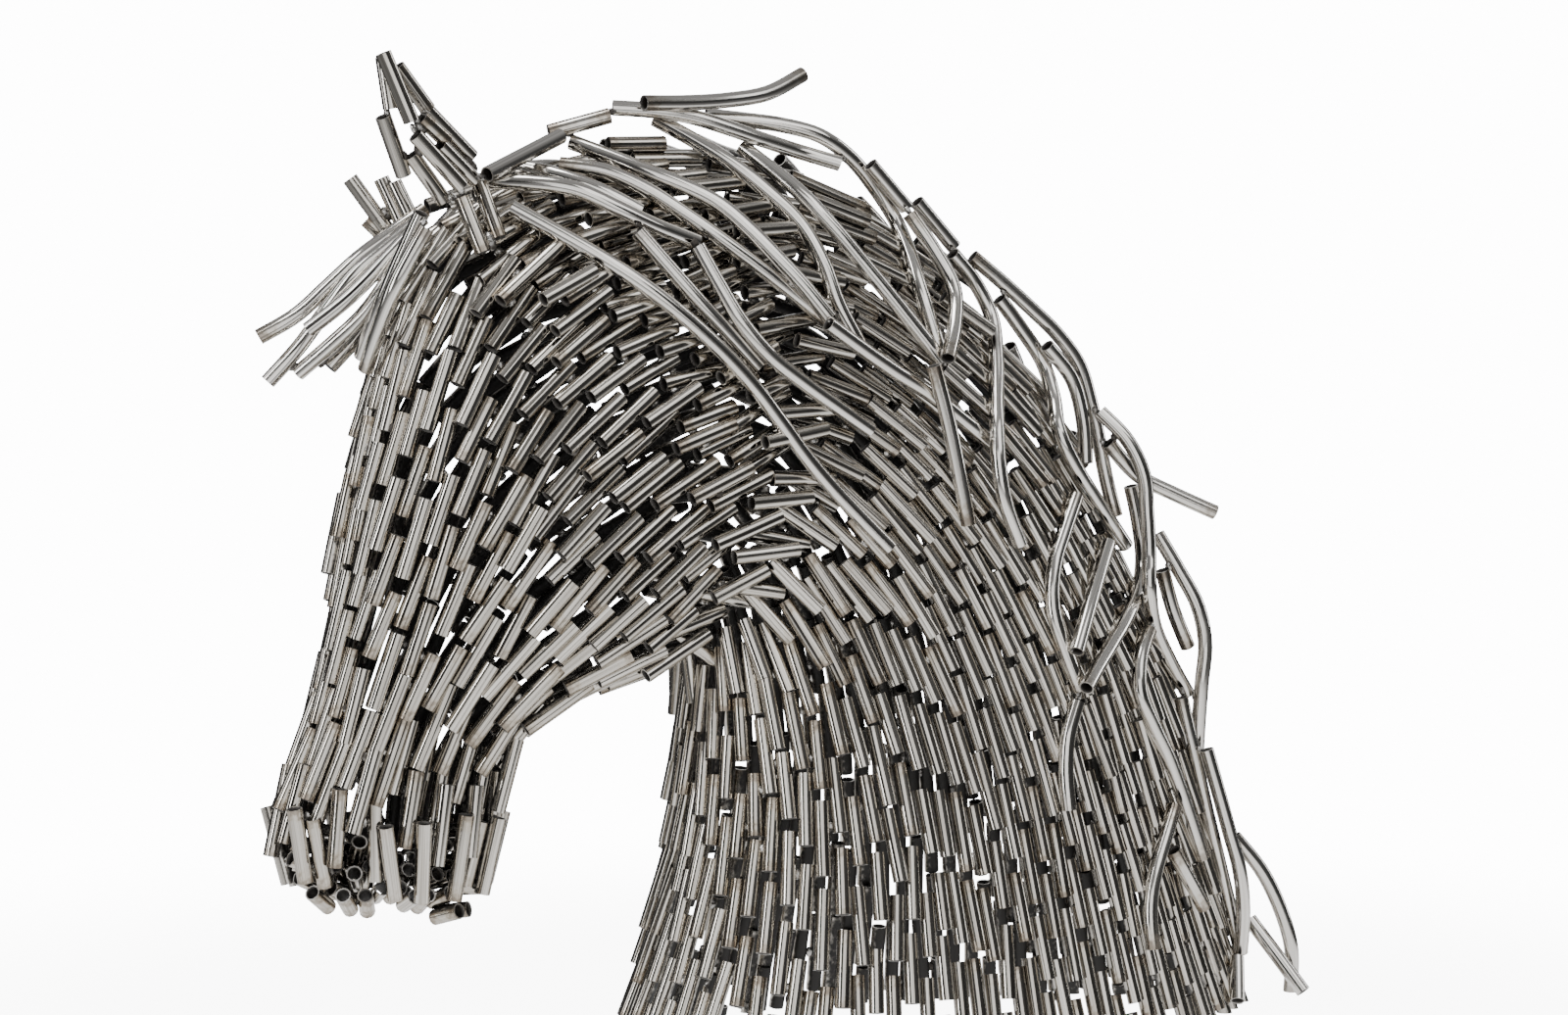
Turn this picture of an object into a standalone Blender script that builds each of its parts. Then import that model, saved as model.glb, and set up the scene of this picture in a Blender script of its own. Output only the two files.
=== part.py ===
"""Bust of a horse in stainless steel tube: an arched head and neck, two ears, a forelock and a mane.

The head and neck are a hollow shell one tube thick, fluted along the run of the tubes and open
at its flat underside. Every long tube of the forelock and mane is a rod of its own, laid on the shell.
The forms are drawn in a three-quarter view, in drawing units across and down, and thrown onto the shell.
"""

import math

import bmesh
import bpy
import numpy as np
from mathutils import Vector
from mathutils.bvhtree import BVHTree

# Driving dimensions, in metres.
HEAD_LENGTH = 0.600
TUBE_DIAMETER = 0.0127
CLEARANCE = 0.0003
FLUTE_DEPTH = 0.0036
WELD_SIZE = 0.0050

# How finely the forms are cut.
FLUTES = 40
COURSES = 28
ROD_SIDES = 6
ROD_STEP = 0.034
SHAPING_ROUNDS = 60
CLEARING_ROUNDS = 160

# The drawing: its unit, the place its viewer looks from, and the level of the flat cut.
HEAD_UNITS = 750
UNIT = HEAD_LENGTH / HEAD_UNITS
VIEW_TURN = math.radians(27)
VIEW_RISE = math.radians(2)
VIEW_DISTANCE = 4000 * UNIT
VIEW_CENTRE = (800, 518)
CUT_LEVEL = 1062

# Cross-sections from the tip of the muzzle, up the head, over the crest and down to the cut:
# outer line, inner line, half width, level of the widest place (1 is the outer line, -1 the
# inner), squareness of the outer and the inner half, and how far the section bows.
SECTIONS = (
    ((376, 924), (440, 925), 22, 0.0, 2.0, 2.0, 0),
    ((308, 900), (480, 907), 50, 0.0, 2.2, 2.2, 0),
    ((280, 844), (501, 862), 66, 0.1, 2.4, 2.3, 0),
    ((316, 735), (514, 768), 70, 0.1, 2.4, 2.3, 0),
    ((342, 600), (582, 716), 88, 0.1, 2.4, 2.4, 0),
    ((368, 450), (640, 694), 116, 0.1, 2.5, 2.6, 10),
    ((404, 300), (676, 680), 122, 0.0, 2.4, 2.5, 30),
    ((466, 210), (688, 666), 118, -0.1, 2.3, 2.5, 42),
    ((610, 158), (694, 660), 114, -0.25, 2.0, 2.5, 50),
    ((745, 154), (697, 662), 108, -0.3, 2.0, 2.4, 50),
    ((862, 202), (699, 674), 106, -0.3, 2.0, 2.3, 38),
    ((978, 300), (700, 702), 112, -0.3, 2.0, 2.3, 20),
    ((1080, 425), (699, 736), 122, -0.3, 1.9, 2.3, 8),
    ((1140, 560), (697, 786), 132, -0.3, 1.9, 2.3, 0),
    ((1185, 690), (692, 845), 144, -0.3, 1.9, 2.3, 0),
    ((1222, 850), (678, 930), 158, -0.3, 1.9, 2.3, 0),
    ((1262, CUT_LEVEL), (644, CUT_LEVEL), 174, -0.3, 1.9, 2.3, 0),
)

# Mane tubes from root to tip, lowest layer first, as points of the drawing.
MANE = (
    ((500, 185), (581, 198), (650, 228), (708, 250)),
    ((530, 170), (592, 192), (650, 220)),
    ((571, 175), (638, 189), (742, 254), (839, 328)),
    ((583, 145), (661, 182), (731, 212), (800, 277), (842, 326)),
    ((668, 121), (745, 174), (820, 240), (845, 300), (872, 352)),
    ((720, 118), (840, 140), (908, 215), (932, 295), (957, 371)),
    ((757, 150), (820, 208), (885, 282), (956, 370)),
    ((625, 110), (701, 118), (800, 150), (857, 167)),
    ((648, 240), (705, 305), (740, 342), (770, 375)),
    ((523, 217), (650, 291), (749, 376), (830, 480), (905, 560)),
    ((708, 254), (754, 332), (795, 376), (884, 440)),
    ((841, 332), (900, 375), (940, 400), (1008, 455)),
    ((948, 375), (965, 440), (984, 536)),
    ((888, 168), (925, 212)),
    ((928, 218), (968, 300), (962, 368)),
    ((939, 204), (977, 250)),
    ((972, 259), (1011, 326), (1015, 485), (1036, 556)),
    ((992, 262), (1045, 308), (1096, 363), (1116, 425), (1135, 528)),
    ((1020, 305), (1068, 378), (1080, 457), (1149, 557)),
    ((1068, 353), (1100, 400), (1101, 475)),
    ((1092, 508), (1067, 605), (1097, 705)),
    ((1125, 556), (1108, 612), (1093, 666)),
    ((1154, 496), (1156, 590), (1103, 703)),
    ((1094, 717), (1082, 768), (1086, 827)),
    ((1122, 420), (1163, 470), (1172, 554), (1177, 636), (1212, 708)),
    ((1181, 545), (1226, 628), (1227, 684), (1219, 779)),
    ((1166, 645), (1156, 701), (1191, 787), (1220, 877)),
    ((1192, 824), (1169, 907), (1171, 969)),
    ((1191, 868), (1222, 927)),
    ((1186, 582), (1200, 632), (1212, 660)),
    ((1205, 712), (1224, 801), (1244, 891), (1264, 974)),
    ((1231, 765), (1252, 840), (1268, 907), (1266, 972)),
    ((1261, 851), (1297, 899), (1319, 965), (1318, 1008)),
    ((1275, 938), (1314, 990), (1330, 1012)),
    ((1262, 977), (1256, 1022)),
    ((1131, 452), (1161, 485), (1240, 523)),
    ((657, 105), (720, 104), (780, 96), (819, 76)),
    ((497, 178), (572, 139)),
    ((560, 135), (622, 118)),
)

# Plain mane tubes on the far side of the crest: how many, where the first and last are rooted as
# places of the cross-sections, how many places each one spans, and its turns off the crest.
FAR_LOCKS = 11
FAR_ROOTS = (7.4, 14.2)
FAR_SPAN = 1.3
FAR_TURNS = (-0.012, -0.115)
FAR_WAVE = 0.016

# Forelock tubes from between the ears to their tips.
FORELOCK = (
    ((434, 214), (363, 266), (307, 318), (264, 344)),
    ((432, 222), (355, 287), (317, 340), (273, 390)),
    ((425, 232), (384, 276), (335, 323), (314, 337)),
    ((420, 244), (376, 315), (304, 381)),
    ((409, 262), (378, 328), (336, 375)),
    ((430, 218), (394, 300), (371, 364)),
    ((435, 233), (407, 302), (381, 379)),
)

# Ear tubes: lower end, upper end, and the distance of each end to the near side of the middle plane.
NEAR_EAR = (
    ((491, 262), (471, 202), None, None),
    ((507, 246), (488, 184), None, None),
    ((471, 190), (424, 138), 62, 70),
    ((484, 184), (449, 148), 50, 64),
    ((453, 205), (420, 158), 46, 54),
    ((455, 143), (430, 120), 62, 68),
    ((481, 160), (435, 112), 42, 56),
    ((412, 179), (391, 119), 44, 58),
    ((420, 124), (391, 54), 72, 72),
    ((399, 111), (391, 58), 58, 60),
    ((437, 112), (405, 68), 58, 62),
)
FAR_EAR = (
    ((414, 236), (389, 182), -52, -62),
    ((404, 246), (386, 222), -62, -66),
    ((386, 222), (357, 182), -66, -74),
    ((394, 243), (374, 224), -72, -78),
    ((424, 232), (402, 186), -38, -48),
)

STEEL = {
    "head_and_neck": ((0.42, 0.41, 0.39, 1.0), 0.32),
    "ear": ((0.50, 0.49, 0.47, 1.0), 0.30),
    "mane": ((0.62, 0.61, 0.59, 1.0), 0.24),
    "forelock": ((0.66, 0.65, 0.63, 1.0), 0.22),
}

TUBE_RADIUS = TUBE_DIAMETER / 2
OVER_SHELL = TUBE_RADIUS + 1.5 * CLEARANCE
OVER_ROD = TUBE_DIAMETER + CLEARANCE
TOWARDS_VIEWER = np.array([
    -math.sin(VIEW_TURN) * math.cos(VIEW_RISE),
    -math.cos(VIEW_TURN) * math.cos(VIEW_RISE),
    math.sin(VIEW_RISE),
])
ACROSS = np.array([math.cos(VIEW_TURN), -math.sin(VIEW_TURN), 0.0])
UPWARDS = np.cross(TOWARDS_VIEWER, ACROSS)
LOOKED_AT = np.array([0.0, 0.0, (CUT_LEVEL - VIEW_CENTRE[1]) * UNIT])
EYE = LOOKED_AT + TOWARDS_VIEWER * VIEW_DISTANCE


def sight_line(point):
    """The direction in which the viewer sees a point of the drawing."""
    across = (point[0] - VIEW_CENTRE[0]) * UNIT
    down = (point[1] - VIEW_CENTRE[1]) * UNIT
    line = ACROSS * across - UPWARDS * down - TOWARDS_VIEWER * VIEW_DISTANCE
    return line / np.linalg.norm(line)


def on_plane(point, side):
    """The place of a drawing point on the upright plane this many units to the near side."""
    line = sight_line(point)
    return EYE + line * ((-side * UNIT - EYE[1]) / line[1])


def smooth(table, place):
    """Values of the table's rows on a smooth curve through them; place counts rows from 0."""
    table = np.asarray(table, float)
    last = len(table) - 1
    row = np.clip(np.floor(place).astype(int), 0, last - 1)
    share = (place - row)[..., None]
    before = table[np.clip(row - 1, 0, last)]
    here = table[row]
    there = table[row + 1]
    after = table[np.clip(row + 2, 0, last)]
    first = 2 * here + (there - before) * share
    second = (2 * before - 5 * here + 4 * there - after) * share ** 2
    third = (3 * here - before - 3 * there + after) * share ** 3
    return 0.5 * (first + second + third)


def section_rows():
    """The cross-sections as rows of sizes in metres on the middle plane."""
    rows = []
    for outer, inner, half_width, level, outer_power, inner_power, bow in SECTIONS:
        top = on_plane(outer, 0)
        foot = on_plane(inner, 0)
        rows.append((top[0], top[2], foot[0], foot[2], half_width * UNIT, level, outer_power, inner_power, bow * UNIT))
    rows = np.array(rows)
    rows[-1, 1] = rows[-1, 3] = 0.0
    return rows


ROWS = section_rows()


def skin(turn, place):
    """Points of the skin over the tubes: turn is 0 on the outer line, 1/4 on the near side."""
    turn, place = np.broadcast_arrays(np.asarray(turn, float), np.asarray(place, float))
    row = smooth(ROWS, place)
    top = row[..., 0:2]
    foot = row[..., 2:4]
    half_width, level, outer_power, inner_power, bow = (row[..., k] for k in range(4, 9))
    up = np.cos(2 * math.pi * turn)
    side = np.sin(2 * math.pi * turn)
    power = np.where(up > 0, outer_power, inner_power)
    reach = np.abs(up) ** (2 / power)
    height = np.where(up > 0, level + (1 - level) * reach, level - (1 + level) * reach)
    width = -half_width * np.sign(side) * np.abs(side) ** (2 / power)
    axis = (top - foot) / 2
    square = np.stack([axis[..., 1], -axis[..., 0]], -1)
    square = square / np.linalg.norm(square, axis=-1, keepdims=True)
    flat = (top + foot) / 2 + height[..., None] * axis + (bow * (1 - height ** 2))[..., None] * square
    return np.stack([flat[..., 0], width, flat[..., 1]], -1)


def course_places():
    """Places of the courses: even along the outer line, and closer where the sections are closer."""
    fine = np.linspace(0, len(SECTIONS) - 1, 400)
    line = smooth(ROWS, fine)[:, 0:2]
    run = np.concatenate([[0], np.cumsum(np.linalg.norm(np.diff(line, axis=0), axis=1))])
    share = run / run[-1] + fine / fine[-1]
    return np.interp(np.linspace(0, share[-1], COURSES), share, fine)


def inward(turn, place, depth):
    """Points of the skin moved straight into the shell by the given depth."""
    step = 1e-3
    middle = skin(turn, place)
    round_it = skin(turn + step, place) - skin(turn - step, place)
    along = skin(turn, np.minimum(place + step, len(SECTIONS) - 1)) - skin(turn, np.maximum(place - step, 0))
    out = np.cross(round_it, along)
    out = out / np.linalg.norm(out, axis=-1, keepdims=True)
    return middle - out * depth


def loft(bm, rings):
    """Faces between rings of as many vertices each."""
    for ring, following in zip(rings, rings[1:]):
        for k in range(len(ring)):
            after = (k + 1) % len(ring)
            bm.faces.new((ring[k], ring[after], following[after], following[k]))


def finish(name, bm, colour, roughness, crease=35):
    """The bmesh as an object of its own steel, smooth but for its creases."""
    bmesh.ops.recalc_face_normals(bm, faces=bm.faces)
    mesh = bpy.data.meshes.new(name)
    bm.to_mesh(mesh)
    bm.free()
    mesh.shade_smooth()
    mesh.set_sharp_from_angle(angle=math.radians(crease))
    steel = bpy.data.materials.new(name + "_steel")
    steel.use_nodes = True
    shader = steel.node_tree.nodes["Principled BSDF"]
    shader.inputs["Base Color"].default_value = colour
    shader.inputs["Metallic"].default_value = 1.0
    shader.inputs["Roughness"].default_value = roughness
    mesh.materials.append(steel)
    item = bpy.data.objects.new(name, mesh)
    bpy.context.collection.objects.link(item)
    return item


def crest_turns():
    """Turns of the crest of each flute."""
    return np.arange(FLUTES) / FLUTES


def make_shell(places):
    """The head and neck: fluted outside, plain inside, one tube thick, open at the cut."""
    bm = bmesh.new()
    crests = skin(crest_turns()[None, :], places[:, None])
    valleys = inward(crest_turns()[None, :] + 0.5 / FLUTES, places[:, None], FLUTE_DEPTH)
    valleys[-1, :, 2] = 0.0
    outer = []
    for crest_row, valley_row in zip(crests, valleys):
        ring = []
        for crest, valley in zip(crest_row, valley_row):
            ring.append(bm.verts.new(crest))
            ring.append(bm.verts.new(valley))
        outer.append(ring)
    loft(bm, outer)
    bm.faces.new(outer[0])
    inner_places = np.concatenate([places[2:-1:2], places[-1:]])
    hollow = inward(crest_turns()[None, :], inner_places[:, None], TUBE_DIAMETER)
    hollow[-1, :, 2] = 0.0
    inner = [[bm.verts.new(point) for point in row] for row in hollow]
    loft(bm, inner)
    bm.faces.new(inner[0])
    for k in range(FLUTES):
        after = (k + 1) % FLUTES
        crest, valley, next_crest = outer[-1][2 * k], outer[-1][2 * k + 1], outer[-1][2 * after]
        bm.faces.new((crest, valley, inner[-1][k]))
        bm.faces.new((valley, next_crest, inner[-1][after]))
        bm.faces.new((valley, inner[-1][after], inner[-1][k]))
    bmesh.ops.triangulate(bm, faces=bm.faces)
    colour, roughness = STEEL["head_and_neck"]
    return finish("head_and_neck", bm, colour, roughness, crease=12)


def make_envelope(places):
    """The surface over the crests of the flutes, which the long tubes rest on."""
    crests = skin(crest_turns()[None, :], places[:, None])
    points = [Vector(point) for row in crests for point in row]
    faces = []
    for j in range(len(places) - 1):
        for k in range(FLUTES):
            after = (k + 1) % FLUTES
            near, far = j * FLUTES, (j + 1) * FLUTES
            faces.append((near + k, near + after, far + after))
            faces.append((near + k, far + after, far + k))
    faces.append(tuple(range(FLUTES)))
    return BVHTree.FromPolygons(points, faces)


def distance_out(envelope, point):
    """The way out of the shell nearest to a point, and how far outside the envelope the point is."""
    place, normal, _, distance = envelope.find_nearest(Vector(point))
    away = np.array(point) - np.array(place)
    if np.dot(away, np.array(normal)) < 0:
        distance = -distance
    return np.array(normal), distance


def throw(envelope, point):
    """A drawing point thrown onto the shell, or to the place beside it that lies nearest to it."""
    line = sight_line(point)
    place, normal, _, _ = envelope.ray_cast(Vector(EYE), Vector(line))
    if place is not None:
        return np.array(place) + np.array(normal) * TUBE_RADIUS
    reach = np.linspace(VIEW_DISTANCE - HEAD_LENGTH / 2, VIEW_DISTANCE + HEAD_LENGTH / 2, 121)
    tries = [EYE + line * r for r in reach]
    gaps = [envelope.find_nearest(Vector(t))[3] for t in tries]
    return tries[int(np.argmin(gaps))]


def even_path(points, step):
    """A smooth path through the points, cut into even lengths of about one step."""
    points = np.array(points)
    fine = smooth(points, np.linspace(0, len(points) - 1, 40 * len(points)))
    run = np.concatenate([[0], np.cumsum(np.linalg.norm(np.diff(fine, axis=0), axis=1))])
    count = max(3, round(run[-1] / step) + 1)
    even = np.linspace(0, run[-1], count)
    return np.stack([np.interp(even, run, fine[:, axis]) for axis in range(3)], -1)


def segment_gaps(path, laid):
    """From each segment of a path to each laid segment: the distance, where along the path's, and the way."""
    start, run = path[:-1, None], (path[1:] - path[:-1])[:, None]
    other, reach = laid[None, :, 0], (laid[:, 1] - laid[:, 0])[None]
    between = start - other
    a = np.sum(run * run, -1)
    e = np.sum(reach * reach, -1)
    b = np.sum(run * reach, -1)
    c = np.sum(run * between, -1)
    f = np.sum(reach * between, -1)
    flatness = np.maximum(a * e - b * b, 1e-15)
    s = np.clip((b * f - c * e) / flatness, 0, 1)
    t = np.clip((b * s + f) / e, 0, 1)
    s = np.clip((b * t - c) / a, 0, 1)
    apart = between + run * s[..., None] - reach * t[..., None]
    return np.linalg.norm(apart, axis=-1), s, apart


def settle(envelope, drawn, laid, seen=True):
    """Moves a path until it clears the shell and every rod laid before it.

    It leaves the shell square to its skin, and passes a rod on the viewer's side, or farther out
    where the viewer can't see it. In the shaping rounds the move is also spread along the path,
    which keeps to its sight lines.
    """
    path = drawn.copy()
    passing = -(drawn - EYE) / np.linalg.norm(drawn - EYE, axis=1, keepdims=True)
    if not seen:
        passing = np.array([distance_out(envelope, point)[0] for point in drawn])
    sight = (drawn - EYE) / np.linalg.norm(drawn - EYE, axis=1, keepdims=True)
    for turn in range(SHAPING_ROUNDS + CLEARING_ROUNDS):
        if turn < SHAPING_ROUNDS:
            away = path - EYE
            path = path + 0.5 * (sight * np.sum(away * sight, axis=1, keepdims=True) - away)
            moved = path - drawn
            moved[1:-1] = 0.5 * moved[1:-1] + 0.25 * (moved[:-2] + moved[2:])
            path = drawn + moved
        lift = np.zeros(len(path))
        out = np.zeros_like(path)
        for k in range(len(path) - 1):
            for share in np.linspace(0, 1, 5):
                way, distance = distance_out(envelope, path[k] * (1 - share) + path[k + 1] * share)
                short = (OVER_SHELL - distance) * 1.02
                for end, weight in ((k, share < 0.9), (k + 1, share > 0.1)):
                    if weight and short > lift[end]:
                        lift[end] = short
                        out[end] = way
        pass_by = np.zeros(len(path))
        if len(laid):
            gaps, along, _ = segment_gaps(path, laid)
            short = np.maximum(OVER_ROD - gaps, 0)
            for k, pick in enumerate(np.argmax(short, axis=1)):
                if short[k, pick] > 0:
                    push = short[k, pick] * 0.7 + 0.0001
                    pass_by[k] = max(pass_by[k], push * (1 - 0.6 * along[k, pick]))
                    pass_by[k + 1] = max(pass_by[k + 1], push * (0.4 + 0.6 * along[k, pick]))
        if turn >= SHAPING_ROUNDS and lift.max() <= 0 and pass_by.max() <= 0:
            break
        path = path + out * lift[:, None] + passing * pass_by[:, None]
    return path


def close_up(envelope, path, laid):
    """Moves a settled path straight to what lies nearest to it, so that the two can be welded."""
    nearest, to_it = math.inf, np.zeros(3)
    for first, second in zip(path, path[1:]):
        for share in np.linspace(0, 1, 5):
            way, distance = distance_out(envelope, first * (1 - share) + second * share)
            if distance - OVER_SHELL < nearest:
                nearest, to_it = distance - OVER_SHELL, -way
    if len(laid):
        gaps, _, apart = segment_gaps(path, laid)
        pick = np.unravel_index(np.argmin(gaps), gaps.shape)
        if gaps[pick] - OVER_ROD < nearest:
            nearest, to_it = gaps[pick] - OVER_ROD, -apart[pick] / gaps[pick]
    return path + to_it * max(nearest, 0)


def rod(bm, path, radius, sides):
    """A closed rod along a path, its rings square to it."""
    along = np.gradient(path, axis=0)
    along = along / np.linalg.norm(along, axis=1, keepdims=True)
    level = np.array([0.0, 0.0, 1.0])
    if abs(along[0][2]) > 0.9:
        level = np.array([0.0, 1.0, 0.0])
    rings = []
    for point, ahead in zip(path, along):
        level = level - ahead * np.dot(level, ahead)
        level = level / np.linalg.norm(level)
        across = np.cross(ahead, level)
        ring = []
        for k in range(sides):
            angle = 2 * math.pi * k / sides
            ring.append(bm.verts.new(point + radius * (math.cos(angle) * level + math.sin(angle) * across)))
        rings.append(ring)
    loft(bm, rings)
    bm.faces.new(rings[0])
    bm.faces.new(rings[-1])


def segments(path):
    """The path's segments as pairs of ends."""
    return np.stack([path[:-1], path[1:]], axis=1)


def helper(name, bm):
    """A mesh object that is only a tool for joining."""
    bmesh.ops.recalc_face_normals(bm, faces=bm.faces)
    mesh = bpy.data.meshes.new(name)
    bm.to_mesh(mesh)
    bm.free()
    item = bpy.data.objects.new(name, mesh)
    item.hide_render = True
    item.display_type = "WIRE"
    bpy.context.collection.objects.link(item)
    return item


def nearest_points(first, second):
    """The closest points of two straight tubes' middle lines, by sampling."""
    shares = np.linspace(0, 1, 25)[:, None]
    a = first[0] * (1 - shares) + first[-1] * shares
    b = second[0] * (1 - shares) + second[-1] * shares
    gaps = np.linalg.norm(a[:, None] - b[None], axis=-1)
    i, j = np.unravel_index(np.argmin(gaps), gaps.shape)
    return a[i], b[j]


def make_ear(name, tubes, envelope):
    """An ear: short tubes welded side by side, joined into one piece by beads where they meet."""
    paths = []
    for lower, upper, lower_side, upper_side in tubes:
        foot = throw(envelope, lower) if lower_side is None else on_plane(lower, lower_side)
        head = throw(envelope, upper) if upper_side is None else on_plane(upper, upper_side)
        paths.append(settle(envelope, np.array([foot, head]), np.empty((0, 2, 3))))
    joined = None
    for index, path in enumerate(paths):
        bm = bmesh.new()
        rod(bm, path, TUBE_RADIUS, ROD_SIDES)
        pieces = [bm]
        if index:
            meetings = [nearest_points(path, other) for other in paths[:index]]
            gaps = [np.linalg.norm(a - b) for a, b in meetings]
            a, b = meetings[int(np.argmin(gaps))]
            if min(gaps) > TUBE_RADIUS:
                bead = bmesh.new()
                rod(bead, np.array([a, (a + b) / 2, b]), WELD_SIZE / 2, 4)
                pieces.append(bead)
        for piece in pieces:
            if joined is None:
                joined = piece
                continue
            base = helper("base", joined)
            added = helper("added", piece)
            union = base.modifiers.new("weld", "BOOLEAN")
            union.operation = "UNION"
            union.solver = "EXACT"
            union.object = added
            evaluated = base.evaluated_get(bpy.context.evaluated_depsgraph_get())
            joined = bmesh.new()
            joined.from_mesh(evaluated.to_mesh())
            bpy.data.objects.remove(base)
            bpy.data.objects.remove(added)
    bmesh.ops.remove_doubles(joined, verts=joined.verts, dist=1e-6)
    bmesh.ops.triangulate(joined, faces=joined.faces)
    colour, roughness = STEEL["ear"]
    return finish(name, joined, colour, roughness), paths


def make_lock(name, number, path):
    """One long tube of the forelock or mane along its settled path."""
    colour, roughness = STEEL[name]
    bm = bmesh.new()
    rod(bm, path, TUBE_RADIUS, ROD_SIDES)
    bmesh.ops.triangulate(bm, faces=bm.faces)
    return finish("%s_tube_%02d" % (name, number), bm, colour, roughness)


def lay_locks(name, locks, envelope, laid):
    """The drawn tubes of a forelock or mane, each laid over those before it."""
    for number, points in enumerate(locks, 1):
        path = even_path([throw(envelope, point) for point in points], ROD_STEP)
        path = close_up(envelope, settle(envelope, path, laid), laid)
        make_lock(name, number, path)
        laid = np.concatenate([laid, segments(path)])
    return laid


def lay_far_locks(envelope, laid):
    """The plain mane tubes that sweep down the far side from the crest."""
    share = np.linspace(0, 1, 5)
    for k, root in enumerate(np.linspace(*FAR_ROOTS, FAR_LOCKS)):
        wave = FAR_WAVE * np.sin(math.pi * (share * 1.5 + k * 0.7))
        reach = 0.75 + 0.25 * math.cos(2.3 * k)
        turn = FAR_TURNS[0] + (FAR_TURNS[1] - FAR_TURNS[0]) * reach * share + wave * share
        place = np.minimum(root + FAR_SPAN * share * (0.8 + 0.2 * math.sin(1.7 * k)), len(SECTIONS) - 1.3)
        path = even_path(inward(turn, place, -TUBE_RADIUS), ROD_STEP)
        path = close_up(envelope, settle(envelope, path, laid, seen=False), laid)
        make_lock("mane", len(MANE) + 1 + k, path)
        laid = np.concatenate([laid, segments(path)])
    return laid


def centre_on_origin(items):
    """Moves the meshes so that the origin is under the middle of the whole, on the cut."""
    corners = np.array([vertex.co for item in items for vertex in item.data.vertices])
    middle = (corners.min(axis=0) + corners.max(axis=0)) / 2
    for item in items:
        for vertex in item.data.vertices:
            vertex.co.x -= middle[0]
            vertex.co.y -= middle[1]


for old in list(bpy.data.objects):
    bpy.data.objects.remove(old)

all_places = course_places()
rest_surface = make_envelope(all_places)

make_shell(all_places)
_, near_paths = make_ear("left_ear", NEAR_EAR, rest_surface)
_, far_paths = make_ear("right_ear", FAR_EAR, rest_surface)
laid_rods = np.concatenate([segments(path) for path in near_paths + far_paths])
laid_rods = lay_locks("forelock", FORELOCK, rest_surface, laid_rods)
laid_rods = lay_locks("mane", MANE, rest_surface, laid_rods)
lay_far_locks(rest_surface, laid_rods)
centre_on_origin([item for item in bpy.data.objects if item.type == "MESH"])
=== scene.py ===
# %% [markdown]
# # A bust of a horse in welded steel tube
# The real object is a life-size head and neck made of about a thousand short offcuts of thin
# steel tube, laid side by side like bricks and welded into one hollow skin you can see through.
# Longer tubes, bent by hand, make the forelock and the mane. This lesson rebuilds that look on
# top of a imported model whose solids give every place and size: first the frame and the camera,
# then the skin and its columns of tubes, then the tubes themselves, the welds and the steel.

import math

import bmesh
import bpy
import numpy as np
from mathutils import Matrix, Vector
from mathutils.bvhtree import BVHTree
from mathutils.kdtree import KDTree


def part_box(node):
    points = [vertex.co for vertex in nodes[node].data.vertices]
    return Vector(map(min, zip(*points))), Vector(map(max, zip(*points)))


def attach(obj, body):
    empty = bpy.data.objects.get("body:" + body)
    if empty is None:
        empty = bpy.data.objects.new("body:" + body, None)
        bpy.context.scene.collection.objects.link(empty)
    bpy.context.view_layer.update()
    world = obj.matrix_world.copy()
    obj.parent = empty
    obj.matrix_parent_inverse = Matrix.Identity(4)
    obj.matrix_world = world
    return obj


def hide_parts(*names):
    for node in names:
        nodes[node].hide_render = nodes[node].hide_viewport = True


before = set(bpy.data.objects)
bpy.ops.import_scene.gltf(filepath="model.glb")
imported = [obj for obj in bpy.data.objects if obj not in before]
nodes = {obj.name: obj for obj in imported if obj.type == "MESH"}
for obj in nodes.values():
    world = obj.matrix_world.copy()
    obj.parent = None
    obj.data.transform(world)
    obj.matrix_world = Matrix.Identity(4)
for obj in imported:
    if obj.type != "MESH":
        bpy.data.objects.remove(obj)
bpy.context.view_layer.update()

# %% [markdown]
# ## The sizes that everything follows
# The sculptor worked with one stock tube, half an inch thick, so its diameter and wall are the
# driving sizes here too. A short tube is about 57 mm long, the next one in its column starts
# about 13 mm further on, and neighbouring columns lie 13 mm apart, hardly more than a tube's own
# width, so only slivers of light get in.

# %% Sizes of the tube and of its laying pattern, in metres
TUBE_DIAMETER = 0.0127
TUBE_RADIUS = TUBE_DIAMETER / 2
TUBE_WALL = 0.0011
SHORT_LENGTH = 0.057
COURSE_STEP = 0.070
COLUMN_STEP = 0.0131
SIDES = 12

chance = np.random.default_rng(11)

# %% [markdown]
# ## The drawing and its viewer
# The form was drawn in a three-quarter view, in drawing units across and down from the top left.
# One unit is a 750th of the head's length. The viewer stands 27 degrees round to the horse's left,
# 2 degrees up and 4000 units away: that pins down the camera as well, because 4000 units away
# with 1600 units of picture is a 90 mm lens on a 36 mm sensor.

# %% The viewer's place and directions
HEAD_LENGTH = 0.600
HEAD_UNITS = 750
UNIT = HEAD_LENGTH / HEAD_UNITS
VIEW_TURN = math.radians(27)
VIEW_RISE = math.radians(2)
VIEW_UNITS = 4000
VIEW_DISTANCE = VIEW_UNITS * UNIT
VIEW_CENTRE = (800, 518)
PICTURE_WIDTH = 1600
CUT_LEVEL = 1062

TOWARDS_VIEWER = np.array([
    -math.sin(VIEW_TURN) * math.cos(VIEW_RISE),
    -math.cos(VIEW_TURN) * math.cos(VIEW_RISE),
    math.sin(VIEW_RISE),
])
ACROSS = np.array([math.cos(VIEW_TURN), -math.sin(VIEW_TURN), 0.0])
UPWARDS = np.cross(TOWARDS_VIEWER, ACROSS)
EYE = np.array([0.0, 0.0, (CUT_LEVEL - VIEW_CENTRE[1]) * UNIT]) + TOWARDS_VIEWER * VIEW_DISTANCE


def unit(vectors):
    """Vectors made one long."""
    return vectors / np.linalg.norm(vectors, axis=-1, keepdims=True)


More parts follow.
